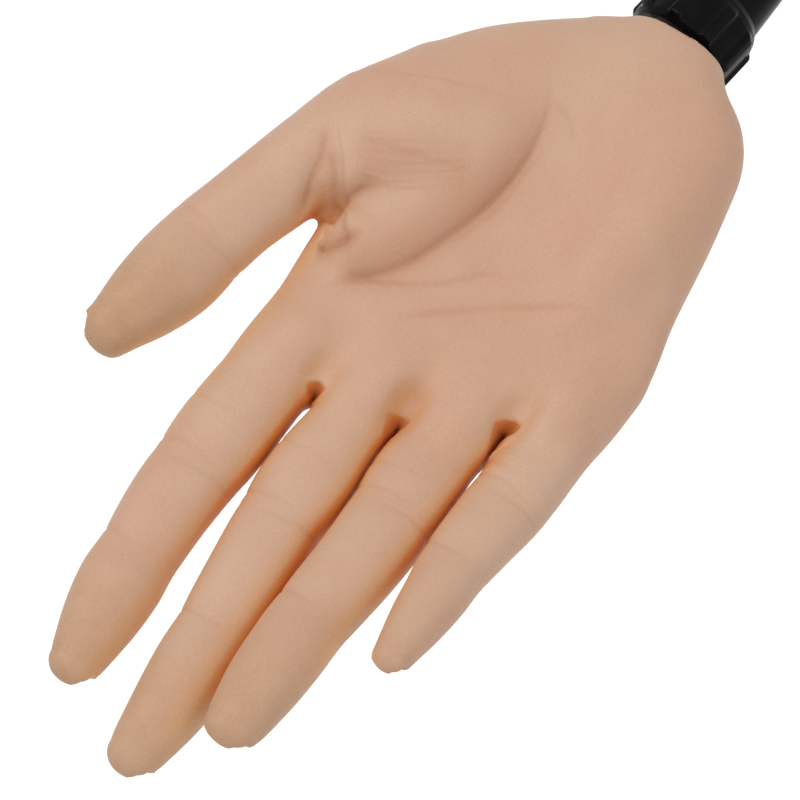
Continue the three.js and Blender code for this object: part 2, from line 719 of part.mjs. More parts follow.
// Ball joint: stud, liner, nut and neck, about the ball's centre with the hand towards -Y
function buildBallJoint() {
  const neckMeets = Math.asin(ballNeckRadius / ballRadius) / degree;
  const wrist = -(nutFront + wristGap);
  const stud = lathe(
    [
      [0, wrist - studShankLength],
      [studShankRadius - studChamfer, wrist - studShankLength],
      [studShankRadius, wrist - studShankLength + studChamfer],
      [studShankRadius, wrist + gap],
      [ballNeckRadius, wrist + gap],
      ...arcPoints(ballRadius, neckMeets, 180, 7).slice(0, -1),
      [0, ballRadius],
    ],
    16,
  );
  addPiece(handOnBall, "ball_stud", stud, blackMetal, 0.3, 0.8);

  const insert = lathe(
    [
      [studShankRadius + gap, -insertFace],
      [insertFlangeRadius, -insertFace],
      [insertFlangeRadius, -insertFlangeThickness - gap],
      [insertRadius, -insertFlangeThickness - gap],
      [insertRadius, -insertLength + gap],
      [0, -insertLength + gap],
      [0, -studShankLength - studBoreRoom],
      [studShankRadius + gap, -studShankLength - studBoreRoom],
      [studShankRadius + gap, -insertFace],
    ].reverse(),
    16,
  );
  insert.translate(0, 0, wristAxisHeight);
  addPiece(hand, "wrist_insert", insert, steelColour, 0.35, 0.9);

  const joint = new THREE.Group();
  joint.position.copy(ball);
  root.add(joint);
  const linerInner = ballRadius + gap;
  const linerOuter = linerInner + linerThickness;
  const inner = arcPoints(linerInner, nutMouthAngle + linerMargin, linerEndAngle, 5);
  const outer = arcPoints(linerOuter, nutMouthAngle + linerMargin, linerEndAngle, 5);
  const liner = lathe([...outer, ...inner.reverse(), outer[0]], 16);
  addPiece(joint, "socket_liner", liner, boneColour, 0.4);

  const cavity = linerOuter + gap;
  const cupRadius = cavity + cupWall;
  const nutInner = cupRadius + gap;
  const nutOuter = nutInner + nutWall;
  const nutEnd = nutLength - nutFront;
  const lip = [cavity * Math.sin(nutMouthAngle * degree), -cavity * Math.cos(nutMouthAngle * degree)];
  const mouth = nutFront * Math.tan(nutMouthAngle * degree);
  const cupFront = -cupDepth;
  const lipEnd = Math.acos(-(cupFront - gap) / cavity) / degree;
  const nutBody = lathe(
    [
      [mouth, -nutFront],
      [nutOuter - nutEdge, -nutFront],
      [nutOuter, -nutFront + nutEdge],
      [nutOuter, nutEnd - nutDomeLength],
      [nutOuter - nutDomeDrop * 0.26, nutEnd - nutDomeLength * 0.5],
      [nutOuter - nutDomeDrop * 0.74, nutEnd - nutDomeLength * 0.12],
      [nutOuter - nutDomeDrop, nutEnd],
      [nutInner, nutEnd],
      [nutInner, cupFront - gap],
      ...arcPoints(cavity, lipEnd, nutMouthAngle, 3).slice(0, -1),
      lip,
      [mouth, -nutFront],
    ],
    24,
  );
  let nut = solidOf(nutBody);
  for (let i = 0; i < nutRibs; i++) {
    const ribLength = nutLength - nutDomeLength - nutEdge;
    const rib = new THREE.BoxGeometry(nutRibHeight + nutWall * 0.5, ribLength, nutRibWidth);
    const ribRadius = nutOuter + nutRibHeight / 2 - nutWall * 0.25;
    rib.translate(ribRadius, -nutFront + nutEdge + ribLength / 2, 0);
    rib.rotateY((2 * Math.PI * i) / nutRibs + nutRibTurn);
    nut = nut.add(solidOf(rib));
  }
  addPiece(joint, "lock_nut", geometryOf(nut), blackPlastic, 0.45);

  const neckStart = nutEnd - neckOverlap;
  const coneStart = neckStart + coneFlare;
  const coneEnd = nutEnd + coneLength;
  const ferruleEnd = coneEnd + coneChamfer + ferruleLength;
  const socketBottom = arcPoints(cavity, 90, 180, 5).slice(1, -1);
  const cone = lathe(
    [
      [cavity, cupFront],
      [cupRadius, cupFront],
      [cupRadius, neckStart],
      [coneRadius, coneStart],
      [coneEndRadius, coneEnd],
      [ferruleRadius, coneEnd + coneChamfer],
      [ferruleRadius, ferruleEnd],
      [0, ferruleEnd],
      [0, cavity],
      ...socketBottom.reverse(),
      [cavity, 0],
      [cavity, cupFront],
    ],
    20,
  );
  addPiece(joint, "neck_cone", cone, blackPlastic, 0.4);
  return ferruleEnd;
}

// The gooseneck's line: up from the foot, round the bend and out to the neck
function gooseneckLine(footTop, neckY) {
  const bendStart = armHeight - gooseneckBendRadius;
  const line = new THREE.CurvePath();
  const up = (y, z) => new THREE.Vector3(0, y, z);
  line.add(new THREE.LineCurve3(up(0, footTop), up(0, bendStart)));
  const bend = new THREE.Curve();
  bend.getPoint = (t) => {
    const angle = (t * Math.PI) / 2;
    const [out, rise] = [1 - Math.cos(angle), Math.sin(angle)];
    return up(-gooseneckBendRadius * out, bendStart + gooseneckBendRadius * rise);
  };
  line.add(bend);
  line.add(new THREE.LineCurve3(up(-gooseneckBendRadius, armHeight), up(neckY, armHeight)));
  return line;
}

// A ribbed tube along a stretch of a line, plain for one diameter at the end that a ferrule holds
function ribbedTube(line, from, to, plainFirst) {
  const total = line.getLength();
  const length = to - from;
  const plain = 2 * gooseneckRadius;
  const ribs = Math.floor((length - plain) / gooseneckRibPitch);
  const ribbed = ribs * gooseneckRibPitch;
  const start = plainFirst ? length - ribbed : 0;
  const stations = plainFirst ? [[0, gooseneckRadius]] : [];
  for (let i = 0; i < ribs; i++) {
    const at = start + i * gooseneckRibPitch;
    stations.push([at, gooseneckRadius]);
    stations.push([at + gooseneckRibPitch * 0.5, gooseneckRadius - gooseneckRibDepth]);
  }
  stations.push([start + ribbed, gooseneckRadius]);
  if (!plainFirst) stations.push([length, gooseneckRadius]);
  const rings = stations.map(([at, radius]) => {
    const u = (from + at) / total;
    const centre = line.getPointAt(u);
    const tangent = line.getTangentAt(u);
    const across = new THREE.Vector3(1, 0, 0);
    const up = new THREE.Vector3().crossVectors(tangent, across);
    return Array.from({ length: gooseneckSides }, (_, j) => {
      const angle = (2 * Math.PI * (j + 0.5)) / gooseneckSides;
      const point = centre.clone().addScaledVector(across, radius * Math.cos(angle));
      return point.addScaledVector(up, radius * Math.sin(angle));
    });
  });
  return loft(rings);
}

// Foot, gooseneck and clamp, in the part's own frame
function buildStand(neckReach) {
  const jawTop = padThickness + gap + clampJawThickness;
  const socketTop = jawTop + footSocketHeight;
  const footTop = socketTop + gap + footCollarHeight + footConeHeight;
  const foot = lathe(
    [
      [0, jawTop + footSocketFloor],
      [footPinRadius - footPinChamfer, jawTop + footSocketFloor],
      [footPinRadius, jawTop + footSocketFloor + footPinChamfer],
      [footPinRadius, socketTop + gap],
      [footSocketRadius, socketTop + gap],
      [footSocketRadius, socketTop + gap + footCollarHeight],
      [footSocketRadius - footCollarChamfer, socketTop + gap + footCollarHeight + footCollarChamfer],
      [ferruleRadius, footTop - footNeckHeight],
      [ferruleRadius, footTop],
      [0, footTop],
    ],
    20,
  );
  foot.rotateX(Math.PI / 2);
  addPiece(root, "arm_foot", foot, blackPlastic, 0.4);

  const line = gooseneckLine(footTop + gap, -armReach + neckReach + gap);
  const straight = armHeight - gooseneckBendRadius - footTop - gap;
  const split = straight + gooseneckBendRadius * gooseneckSplitAngle * degree;
  const end = line.getLength();
  const lower = ribbedTube(line, 0, split - gap / 2, true);
  const upper = ribbedTube(line, split + gap / 2, end, false);
  addPiece(root, "gooseneck_lower", lower, blackMetal, 0.4, 0.6);
  addPiece(root, "gooseneck_upper", upper, blackMetal, 0.4, 0.6);
  const bendAt = line.getPointAt((split + end) / 2 / end);
  addHinge(root, "gooseneck_bend", bendAt, new THREE.Vector3(1, 0, 0));

  const underside = padThickness + gap;
  const lowerTop = underside - clampThroat;
  const lowerBottom = lowerTop - clampLowerJawThickness;
  const spineOut = clampSpineInside + clampSpineThickness;
  const tip = -clampJawLength;
  const outline = new THREE.Shape();
  const [quarter, fillet, corner] = [Math.PI / 2, clampFillet, clampCorner];
  outline.moveTo(tip + jawEdge / 2, underside);
  outline.lineTo(clampSpineInside - fillet, underside);
  outline.absarc(clampSpineInside - fillet, underside - fillet, fillet, quarter, 0, true);
  outline.lineTo(clampSpineInside, lowerTop + fillet);
  outline.absarc(clampSpineInside - fillet, lowerTop + fillet, fillet, 0, -quarter, true);
  outline.lineTo(tip + lowerJawInset, lowerTop);
  outline.lineTo(tip + lowerJawInset - jawEdge / 2, lowerTop - jawEdge);
  outline.lineTo(tip + lowerJawInset, lowerBottom + jawEdge);
  outline.lineTo(tip + lowerJawTaper, lowerBottom);
  outline.lineTo(spineOut - corner, lowerBottom);
  outline.absarc(spineOut - corner, lowerBottom + corner, corner, -quarter, 0, false);
  outline.lineTo(spineOut, jawTop - corner);
  outline.absarc(spineOut - corner, jawTop - corner, corner, 0, quarter, false);
  outline.lineTo(tip + jawTaper, jawTop);
  outline.lineTo(tip, underside + jawEdge);
  outline.lineTo(tip, underside + jawEdge / 2);
  const options = { depth: clampWidth, bevelEnabled: false, curveSegments: 5 };
  const frame = new THREE.ExtrudeGeometry(outline, options).translate(0, 0, -clampWidth / 2);
  const toStand = new THREE.Matrix4().makeBasis(
    new THREE.Vector3(0, 1, 0),
    new THREE.Vector3(0, 0, 1),
    new THREE.Vector3(1, 0, 0),
  );
  frame.applyMatrix4(toStand);
  const upright = (radius, from, to, sides = 20) => {
    const rodAlongZ = new THREE.CylinderGeometry(radius, radius, to - from, sides).rotateX(quarter);
    return rodAlongZ.translate(0, 0, (from + to) / 2);
  };
  const screwWall = 4;
  const past = 5; // that a cut runs past the face it opens
  const socket = upright(footSocketRadius, jawTop - 2, socketTop);
  const boss = upright(screwRadius + screwWall, lowerBottom - clampBossHeight, lowerBottom + 2);
  const pinRoom = upright(footPinRadius + gap, jawTop + footSocketFloor - gap, socketTop + past);
  const screwRoom = upright(screwRadius + gap, lowerBottom - clampBossHeight - past, lowerTop + past);
  const joined = join(solidOf(frame), solidOf(socket), solidOf(moved(boss, 0, -screwInset, 0)));
  const body = cut(joined, solidOf(pinRoom), solidOf(moved(screwRoom, 0, -screwInset, 0)));
  addPiece(root, "clamp_body", geometryOf(body), blackMetal, 0.45, 0.5);

  const padStart = -clampJawLength + padMargin;
  const padEnd = clampSpineInside - clampFillet;
  const upperPad = new THREE.BoxGeometry(2 * padHalfWidth, padEnd - padStart, padThickness);
  upperPad.translate(0, (padStart + padEnd) / 2, padThickness / 2);
  addPiece(root, "upper_pad", upperPad, rubberColour, 0.9);

  const press = new THREE.Group();
  press.position.set(0, -screwInset, -gripGap);
  root.add(press);
  const plateTop = -padThickness - gap;
  const plateBottom = plateTop - pressurePlateThickness;
  const seatRadius = screwRadius - screwSeatStep;
  const lowerPad = upright(pressurePlateRadius - lowerPadStep, -padThickness, 0);
  addPiece(press, "lower_pad", lowerPad, rubberColour, 0.9);
  const plate = lathe(
    [
      [0, plateBottom + screwSeatDepth],
      [seatRadius + gap, plateBottom + screwSeatDepth],
      [seatRadius + gap, plateBottom],
      [pressurePlateRadius - pressurePlateChamfer, plateBottom],
      [pressurePlateRadius, plateBottom + pressurePlateChamfer],
      [pressurePlateRadius, plateTop],
      [0, plateTop],
    ],
    20,
  );
  addPiece(press, "pressure_plate", plate.rotateX(Math.PI / 2), steelColour, 0.4, 0.9);
  const screwTop = plateBottom + screwSeatDepth - gap;
  const screwBottom = screwTop - screwLength;
  const tenonRadius = screwRadius - screwTenonStep;
  const screw = lathe(
    [
      [0, screwBottom],
      [tenonRadius, screwBottom],
      [tenonRadius, screwBottom + knobHeight],
      [screwRadius, screwBottom + knobHeight + 0.4],
      [screwRadius, screwTop - screwSeatDepth - 1],
      [seatRadius, screwTop - screwSeatDepth],
      [seatRadius, screwTop],
      [0, screwTop],
    ],
    16,
  );
  addPiece(press, "clamp_screw", screw.rotateX(Math.PI / 2), steelColour, 0.35, 0.9);
  const knobOutline = new THREE.Shape();
  const knobSteps = knobLobes * knobPointsPerLobe;
  for (let i = 0; i < knobSteps; i++) {
    const angle = (2 * Math.PI * i) / knobSteps;
    const radius = knobRadius - knobLobeDepth * (0.5 - 0.5 * Math.cos(knobLobes * angle));
    if (i) knobOutline.lineTo(radius * Math.cos(angle), radius * Math.sin(angle));
    else knobOutline.moveTo(radius, 0);
  }
  const knob = new THREE.ExtrudeGeometry(knobOutline, { depth: knobHeight, bevelEnabled: false });
  knob.translate(0, 0, screwBottom);
  const knobBore = solidOf(upright(tenonRadius + gap, screwBottom - 1, screwBottom + knobHeight + 1, 20));
  addPiece(press, "clamp_knob", geometryOf(cut(solidOf(knob), knobBore)), blackPlastic, 0.5);
}

buildPalm();
digits.forEach((digit, i) => buildDigit(digit, chains[i]));
buildStand(buildBallJoint());

export default root;
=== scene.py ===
"""Nail practice hand: the looks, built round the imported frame. Metres, in the frame's own axes."""

import json
import math

import bmesh
import bpy
import numpy as np
from mathutils import Matrix, Vector


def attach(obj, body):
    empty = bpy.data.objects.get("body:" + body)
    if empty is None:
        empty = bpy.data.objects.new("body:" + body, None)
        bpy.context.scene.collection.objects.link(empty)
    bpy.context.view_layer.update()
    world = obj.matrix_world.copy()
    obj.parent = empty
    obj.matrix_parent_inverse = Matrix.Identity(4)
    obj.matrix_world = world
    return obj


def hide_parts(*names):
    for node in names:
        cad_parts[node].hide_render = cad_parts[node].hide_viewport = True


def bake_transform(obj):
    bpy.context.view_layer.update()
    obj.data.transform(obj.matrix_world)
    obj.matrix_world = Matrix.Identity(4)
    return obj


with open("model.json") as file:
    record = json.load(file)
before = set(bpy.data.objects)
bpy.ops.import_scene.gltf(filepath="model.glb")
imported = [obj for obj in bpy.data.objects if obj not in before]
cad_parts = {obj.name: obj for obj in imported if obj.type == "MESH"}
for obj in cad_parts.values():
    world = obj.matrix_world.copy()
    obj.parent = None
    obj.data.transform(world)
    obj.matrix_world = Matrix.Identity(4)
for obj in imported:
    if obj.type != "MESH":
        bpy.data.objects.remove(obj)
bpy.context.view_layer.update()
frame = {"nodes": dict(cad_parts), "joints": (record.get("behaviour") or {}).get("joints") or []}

JOINTS = {joint["name"]: joint for joint in frame["joints"]}
MM = 0.001

# The hand's own frame, in millimetres: X across to the little finger, -Y to the fingertips, Z out of the palm
BALL = np.array(JOINTS["ball_nod"]["pos_m"]) / MM
SPIN_AXIS = JOINTS["hand_spin"]["axis"]
HAND_TURN = math.atan2(-SPIN_AXIS[0], SPIN_AXIS[1])
WRIST_AXIS_HEIGHT = -5.0
BALL_TO_WRIST = 10.5
BALL_IN_HAND = np.array([0.0, BALL_TO_WRIST, WRIST_AXIS_HEIGHT])
TURN = np.array(
    [
        [math.cos(HAND_TURN), -math.sin(HAND_TURN), 0],
        [math.sin(HAND_TURN), math.cos(HAND_TURN), 0],
        [0, 0, 1],
    ]
)

FINGERS = ["index", "middle", "ring", "pinky"]
DIGITS = FINGERS + ["thumb"]
SEGMENTS = {"thumb": ["proximal", "tip"], **{name: ["proximal", "middle", "tip"] for name in FINGERS}}
JOINT_NAMES = {"thumb": ["mcp", "ip"], **{name: ["mcp", "pip", "dip"] for name in FINGERS}}


def to_world(points):
    """Hand millimetres to frame metres."""
    return ((np.asarray(points, float) - BALL_IN_HAND) @ TURN.T + BALL) * MM


def to_hand(points):
    """Frame metres to hand millimetres."""
    return (np.asarray(points, float) / MM - BALL) @ TURN + BALL_IN_HAND


def unit(vector):
    vector = np.asarray(vector, float)
    return vector / np.linalg.norm(vector)


def row_lengths(rows):
    return np.linalg.norm(rows, axis=1)


def unit_rows(rows):
    return rows / row_lengths(rows)[:, None]


def direction(heading, pitch):
    """The way that lies so many degrees to the right of -Y and so many above it."""
    heading, pitch = math.radians(heading), math.radians(pitch)
    flat = math.cos(pitch)
    return np.array([math.sin(heading) * flat, -math.cos(heading) * flat, math.sin(pitch)])


def smooth_step(low, high, value):
    t = np.clip((value - low) / (high - low), 0, 1)
    return t * t * (3 - 2 * t)


def smooth_min(a, b, width):
    """The lesser of two fields, rounded where they are within a width of each other."""
    share = np.clip(0.5 + 0.5 * (b - a) / width, 0, 1)
    return b + (a - b) * share - width * share * (1 - share)


def bell(value, width):
    return np.exp(-((value / width) ** 2))


def plateau(value, start, full, fading, end):
    """A soft rise from 0 to 1 and a soft fall back to 0."""
    return smooth_step(start, full, value) * (1 - smooth_step(fading, end, value))


# Camera: the photograph looks down on the palm from beyond the fingertips
IMAGE_SIZE = 800
VIEW_AZIMUTH = 41.5
VIEW_ELEVATION = 71.0
CAMERA_PLACE = np.array([113.5, -253.3, 542.6])
FOCAL_PIXELS = 2640
SENSOR = 36.0


def view_axes():
    azimuth = math.radians(VIEW_AZIMUTH)
    back = Vector(direction(VIEW_AZIMUTH, VIEW_ELEVATION))
    right = Vector((math.cos(azimuth), math.sin(azimuth), 0))
    return right, back.cross(right), back


def add_object(name, data):
    made = bpy.data.objects.new(name, data)
    bpy.context.scene.collection.objects.link(made)
    return made


def add_camera():
    right, up, back = view_axes()
    data = bpy.data.cameras.new("camera")
    data.sensor_width = SENSOR
    data.lens = SENSOR * FOCAL_PIXELS / IMAGE_SIZE
    data.clip_start = 0.05
    data.clip_end = 20
    camera = add_object("camera", data)
    turn = Matrix((right, up, back)).transposed().to_4x4()
    camera.matrix_world = Matrix.Translation(Vector(to_world(CAMERA_PLACE))) @ turn
    bpy.context.scene.camera = camera


add_camera()


# The hand's form. Each digit has stations: how far along in joints (0 at the first joint, 1 at the next),
# the shift to the side, the half width, and the height in front of the bones and behind them, in millimetres
TIP_LENGTH = {"index": 28.0, "middle": 31.8, "ring": 31.0, "pinky": 27.0, "thumb": 30.5}
TIP_HEADING = {"index": 10, "middle": 8, "ring": 5, "pinky": 6, "thumb": -4}
TIP_PITCH = {"index": 6, "middle": 10, "ring": 18, "pinky": 20, "thumb": 5}
TIP_ROUNDING = {"index": 4.6, "middle": 4.6, "ring": 4.4, "pinky": 3.6, "thumb": 4.8}
STATIONS = {
    "index": [
        (-1.1, 2.6, 8.8, 8.3, 8.0),
        (-0.4, 0.1, 9.7, 9.2, 8.8),
        (0.0, -0.3, 10.2, 9.3, 8.8),
        (0.55, -0.5, 10.6, 9.8, 8.3),
        (1.0, -0.6, 10.0, 8.9, 8.3),
        (1.45, -1.0, 9.5, 8.9, 7.6),
        (2.0, -0.7, 8.9, 8.0, 7.4),
        (2.3, -0.8, 9.1, 8.6, 6.6),
        (2.6, -0.7, 8.2, 7.8, 5.7),
        (2.9, -0.5, 6.4, 6.0, 4.4),
        (3.0, -0.5, 5.6, 5.2, 3.8),
    ],
    "middle": [
        (-1.1, 0.0, 9.0, 8.0, 8.0),
        (-0.3, 0.0, 9.0, 8.7, 8.8),
        (0.0, -0.1, 9.0, 8.8, 8.8),
        (0.55, -0.6, 10.1, 9.4, 8.3),
        (1.0, -0.6, 9.6, 8.8, 8.3),
        (1.45, -0.6, 9.3, 8.8, 7.6),
        (2.0, -0.4, 9.1, 8.1, 7.4),
        (2.3, -0.4, 8.9, 8.4, 6.6),
        (2.6, -0.6, 8.0, 7.8, 5.7),
        (2.9, -1.2, 6.4, 6.2, 4.5),
        (3.0, -1.4, 5.6, 5.4, 3.9),
    ],
    "ring": [
        (-1.3, 0.0, 9.2, 8.0, 7.6),
        (-0.3, -0.6, 9.6, 8.6, 8.2),
        (0.0, -0.8, 9.8, 8.9, 8.2),
        (0.5, -1.2, 10.0, 9.4, 8.0),
        (1.0, -1.3, 9.8, 8.8, 8.0),
        (1.45, -0.7, 9.2, 8.7, 7.3),
        (2.0, -1.0, 8.6, 7.9, 7.0),
        (2.3, -1.0, 8.4, 8.2, 6.3),
        (2.6, -1.0, 7.9, 7.7, 5.5),
        (2.9, -0.8, 6.6, 6.2, 4.4),
        (3.0, -0.8, 5.8, 5.4, 3.8),
    ],
    "pinky": [
        (-1.4, -1.0, 8.7, 7.8, 7.2),
        (-0.3, -0.9, 8.9, 7.9, 7.4),
        (0.0, -0.8, 8.9, 8.1, 7.4),
        (0.5, -0.4, 8.7, 8.3, 7.2),
        (1.0, -0.7, 8.9, 7.8, 7.0),
        (1.45, -0.8, 8.3, 7.5, 6.4),
        (2.0, -0.7, 7.6, 6.9, 6.1),
        (2.3, -0.5, 6.9, 6.9, 5.4),
        (2.6, -0.6, 6.0, 6.2, 4.7),
        (2.9, -0.7, 4.6, 4.8, 3.7),
        (3.0, -0.7, 4.1, 4.2, 3.3),
    ],
    "thumb": [
        (-1.0, 2.6, 8.0, 8.0, 8.0),
        (-0.5, 0.6, 10.4, 10.5, 10.5),
        (0.0, 0.4, 10.8, 10.8, 10.2),
        (0.35, -0.1, 10.2, 9.8, 9.4),
        (0.7, -0.3, 9.8, 9.4, 8.7),
        (1.0, 0.1, 10.2, 9.1, 8.4),
        (1.35, 0.1, 10.3, 9.6, 7.5),
        (1.65, -0.4, 9.0, 9.0, 6.5),
        (1.9, -1.0, 7.0, 7.0, 5.2),
        (2.0, -1.4, 6.3, 6.2, 4.6),
    ],
}
DIGIT_POWER = 2.25

# The ball of the thumb: centre, half width, height in front and behind
THENAR = [
    (-13.5, -11, -3, 8.3, 10, 11),
    (-20.5, -25, -1, 13.0, 15, 14),
    (-29.2, -42, 1.5, 16.3, 16.5, 14),
    (-34.7, -55, 3.5, 15.8, 15, 13),
    (-39.4, -64, 4.8, 13.4, 12.5, 12),
    (-43.6, -71, 5, 11.0, 11, 10.5),
]

# The palm: distance from the wrist's end, left, right, front, back, and how much the section slants
PALM = [
    (-0.5, -10.8, 14.0, 11, 12, 0),
    (1.0, -11.8, 15.2, 12, 15, 0),
    (3.5, -13.6, 17.6, 13.2, 17.5, 0),
    (9, -18.5, 23.4, 15, 20, 0),
    (16, -25.3, 28.2, 16.2, 20.5, 0),
    (26, -35.0, 30.3, 16, 20, 0),
    (40, -41.2, 34.2, 14, 18.5, 0.02),
    (58, -41, 38.7, 12, 16.5, 0.08),
    (76, -38, 42.3, 11, 15, 0.16),
    (91, -35.5, 41.7, 10.3, 13.5, 0.26),
    (101, -34, 39.6, 8.6, 11.5, 0.34),
    (107, -32, 36.6, 6.3, 9, 0.38),
]
PALM_POWER = 2.5
PALM_ENDS = (1.2, 4.0)

# The nut's room in the wrist's end, round the ball's axis, and the insert's seat in its floor
NUT_ROOM_RADIUS = 15.8
SEAT_RADIUS = 10.3
SEAT_DEPTH = 2.7


def catmull_rom(rows, steps):
    """A smooth line through rows of numbers, with so many steps in each stretch."""
    rows = np.asarray(rows, float)
    padded = np.vstack([2 * rows[0] - rows[1], rows, 2 * rows[-1] - rows[-2]])
    made = []
    for i in range(len(rows) - 1):
        a, b, c, d = padded[i : i + 4]
        for t in np.arange(steps) / steps:
            bend = (2 * a - 5 * b + 4 * c - d) * t**2 + (3 * b - a - 3 * c + d) * t**3
            made.append(b + 0.5 * ((c - a) * t + bend))
    made.append(rows[-1])
    return np.array(made)


def rounded_distance(a, b, beyond, half, height, ending, power):
    """About the signed distance to a rounded section, with an ellipsoid beyond its end."""
    flat = (np.abs(a / half) ** power + np.abs(b / height) ** power) ** (1 / power)
    reach = np.sqrt(flat**2 + (beyond / ending) ** 2) + 1e-6
    size = np.sqrt(a**2 + b**2 + beyond**2)
    return np.where(size > 1e-3, size - size / reach, -np.minimum(half, height))


# How far round a limb its distance is worked out, and what stands for the distance beyond that
LIMB_MARGIN = 14
FAR = 30.0


class Limb:
    """A rounded form swept along a smooth line."""

    def __init__(self, rows, ending, start_ending=8.0, power=DIGIT_POWER):
        rows = catmull_rom(rows, 10)
        self.centres, self.sizes, across = rows[:, :3], rows[:, 3:6], rows[:, 6:9]
        self.endings = (start_ending, ending)
        self.power = power
        self.along = np.concatenate([[0], np.cumsum(row_lengths(np.diff(self.centres, axis=0)))])
        self.forward = unit_rows(np.gradient(self.centres, self.along, axis=0))
        self.across = unit_rows(across - np.sum(across * self.forward, axis=1)[:, None] * self.forward)
        self.up = np.cross(self.forward, self.across)
        margin = self.sizes.max() + LIMB_MARGIN
        self.low, self.high = self.centres.min(0) - margin, self.centres.max(0) + margin

    def local(self, points):
        """Along, across, up and beyond the ends, with the section's sizes there."""
        gaps = (self.centres**2).sum(1)[None, :] - 2 * points @ self.centres.T
        nearest = np.argmin(gaps, axis=1)
        offset = points - self.centres[nearest]
        forward = self.forward[nearest]
        ahead = np.einsum("ij,ij->i", offset, forward)
        raw = self.along[nearest] + ahead
        along = np.clip(raw, 0, self.along[-1])
        rest = offset - forward * ahead[:, None]
        a = np.einsum("ij,ij->i", rest, self.across[nearest])
        b = np.einsum("ij,ij->i", rest, self.up[nearest])
        sizes = [np.interp(along, self.along, self.sizes[:, i]) for i in range(3)]
        return along, a, b, raw - along, sizes

    def distance(self, points):
        """About the signed distance, and a large one outside the limb's own box."""
        result = np.full(len(points), FAR)
        near = ((points > self.low) & (points < self.high)).all(1)
        if near.any():
            _, a, b, beyond, (half, palmar, dorsal) = self.local(points[near])
            ending = np.where(beyond > 0, self.endings[1], self.endings[0])
            height = np.where(b > 0, palmar, dorsal)
            result[near] = rounded_distance(a, b, beyond, half, height, ending, self.power)
        return result


class Digit:
    """One digit: its joints, its limb and where along it each joint lies."""

    def __init__(self, name):
        self.name = name
        joints = [JOINTS[f"{name}_{joint}"] for joint in JOINT_NAMES[name]]
        self.axes = [-np.array(joint["axis"]) @ TURN for joint in joints]
        places = [to_hand(joint["pos_m"]) for joint in joints]
        ahead = direction(TIP_HEADING[name], TIP_PITCH[name])
        self.places = np.array(places + [places[-1] + ahead * TIP_LENGTH[name]])
        self.limb = Limb(self.rows(), TIP_ROUNDING[name])
        self.joint_along = [self.limb.local(place[None])[0][0] for place in self.places]

    def rows(self):
        rows = []
        for at, aside, half, palmar, dorsal in STATIONS[self.name]:
            link = min(max(int(math.floor(at)), 0), len(self.axes) - 1)
            start, finish = self.places[link], self.places[link + 1]
            side = self.axes[link]
            centre = start + (finish - start) * (at - link) + side * aside
            rows.append([*centre, half, palmar, dorsal, *side])
        return rows


digits = {name: Digit(name) for name in DIGITS}
thumb_side = digits["thumb"].axes[0]
thenar_rows = []
for i, row in enumerate(THENAR):
    share = i / (len(THENAR) - 1)
    side = unit(np.array([1.0, 0, 0]) * (1 - share) + thumb_side * share)
    thenar_rows.append([*row, *side])
thenar_limb = Limb(thenar_rows, 6.0, start_ending=7.0, power=2.1)

palm_rows = catmull_rom(PALM, 8)
palm_rows = palm_rows[np.argsort(palm_rows[:, 0])]


def palm_distance(points):
    x, y, z = points.T
    own = -y
    for _ in range(4):
        own = np.interp(own, palm_rows[:, 0], palm_rows[:, 5]) * x - y
    along = np.clip(own, palm_rows[0, 0], palm_rows[-1, 0])
    left, right, front, back = [np.interp(along, palm_rows[:, 0], palm_rows[:, i]) for i in range(1, 5)]
    beyond = own - along
    ending = np.where(beyond > 0, PALM_ENDS[1], PALM_ENDS[0])
    height = np.where(z > 0, front, back)
    return rounded_distance(x - (left + right) / 2, z, beyond, (right - left) / 2, height, ending, PALM_POWER)


def mound_distance(points, centre, radii):
    offset = points - np.array(centre, float)
    reach = row_lengths(offset / np.array(radii, float)) + 1e-6
    size = row_lengths(offset)
    return size - size / reach


# Soft mounds: centre, radii, and the width over which each joins the palm
MOUNDS = [
    ((20, -42, 1), (13.5, 34, 16.5), 8),
    ((-23, -107, 0), (9.3, 13, 10.8), 5),
    ((-3, -103, 0), (9.6, 13, 10.8), 5),
    ((15.5, -97, 0), (9.8, 13, 10.6), 5),
    ((31.2, -84, 0), (9.3, 14, 10.6), 5),
]

# Hollows and humps of the palm's front: centre, half sizes, and depth, below zero for a hump
HOLLOWS = [
    ((3, -62), (15, 22), 2.2),
    ((0, -36), (7, 16), 1.0),
    ((-36.6, -80.2), (3.0, 3.4), 3.4),
    ((-33.4, -73.4), (3.6, 5.0), -1.0),
    ((-30, -81), (5.0, 3.4), -1.6),
    ((-25.5, -87.5), (6.0, 3.0), -1.0),
    ((-14.4, -111), (2.6, 5.0), 3.5),
    ((4.2, -106.4), (2.8, 5.2), 5.0),
    ((24.6, -93), (2.8, 5.2), 4.8),
]

# The webs between the fingers, across the hand, and how far apart the fingers stay past them
WEB_LINE = ([-30, -14, 4.4, 25.2, 40], [-115, -111, -106.2, -92.8, -84.5])
FINGER_GAP = 0.6

# Knuckles on the back of the hand: how high each stands and over what width
KNUCKLE_HEIGHT = 1.5
KNUCKLE_WIDTH = 8.0
TENDON_HEIGHT = 0.8
TENDON_WIDTH = 2.6
TENDON_START = np.array([2.0, -14.0])

# Over how many millimetres the forms melt into each other, and how fast a finger's gap closes behind its web
THENAR_JOIN = 9
FINGER_JOIN = 4
THUMB_JOIN = 2.5
ROOM_EDGE = 0.8
GAP_CLOSING = 8


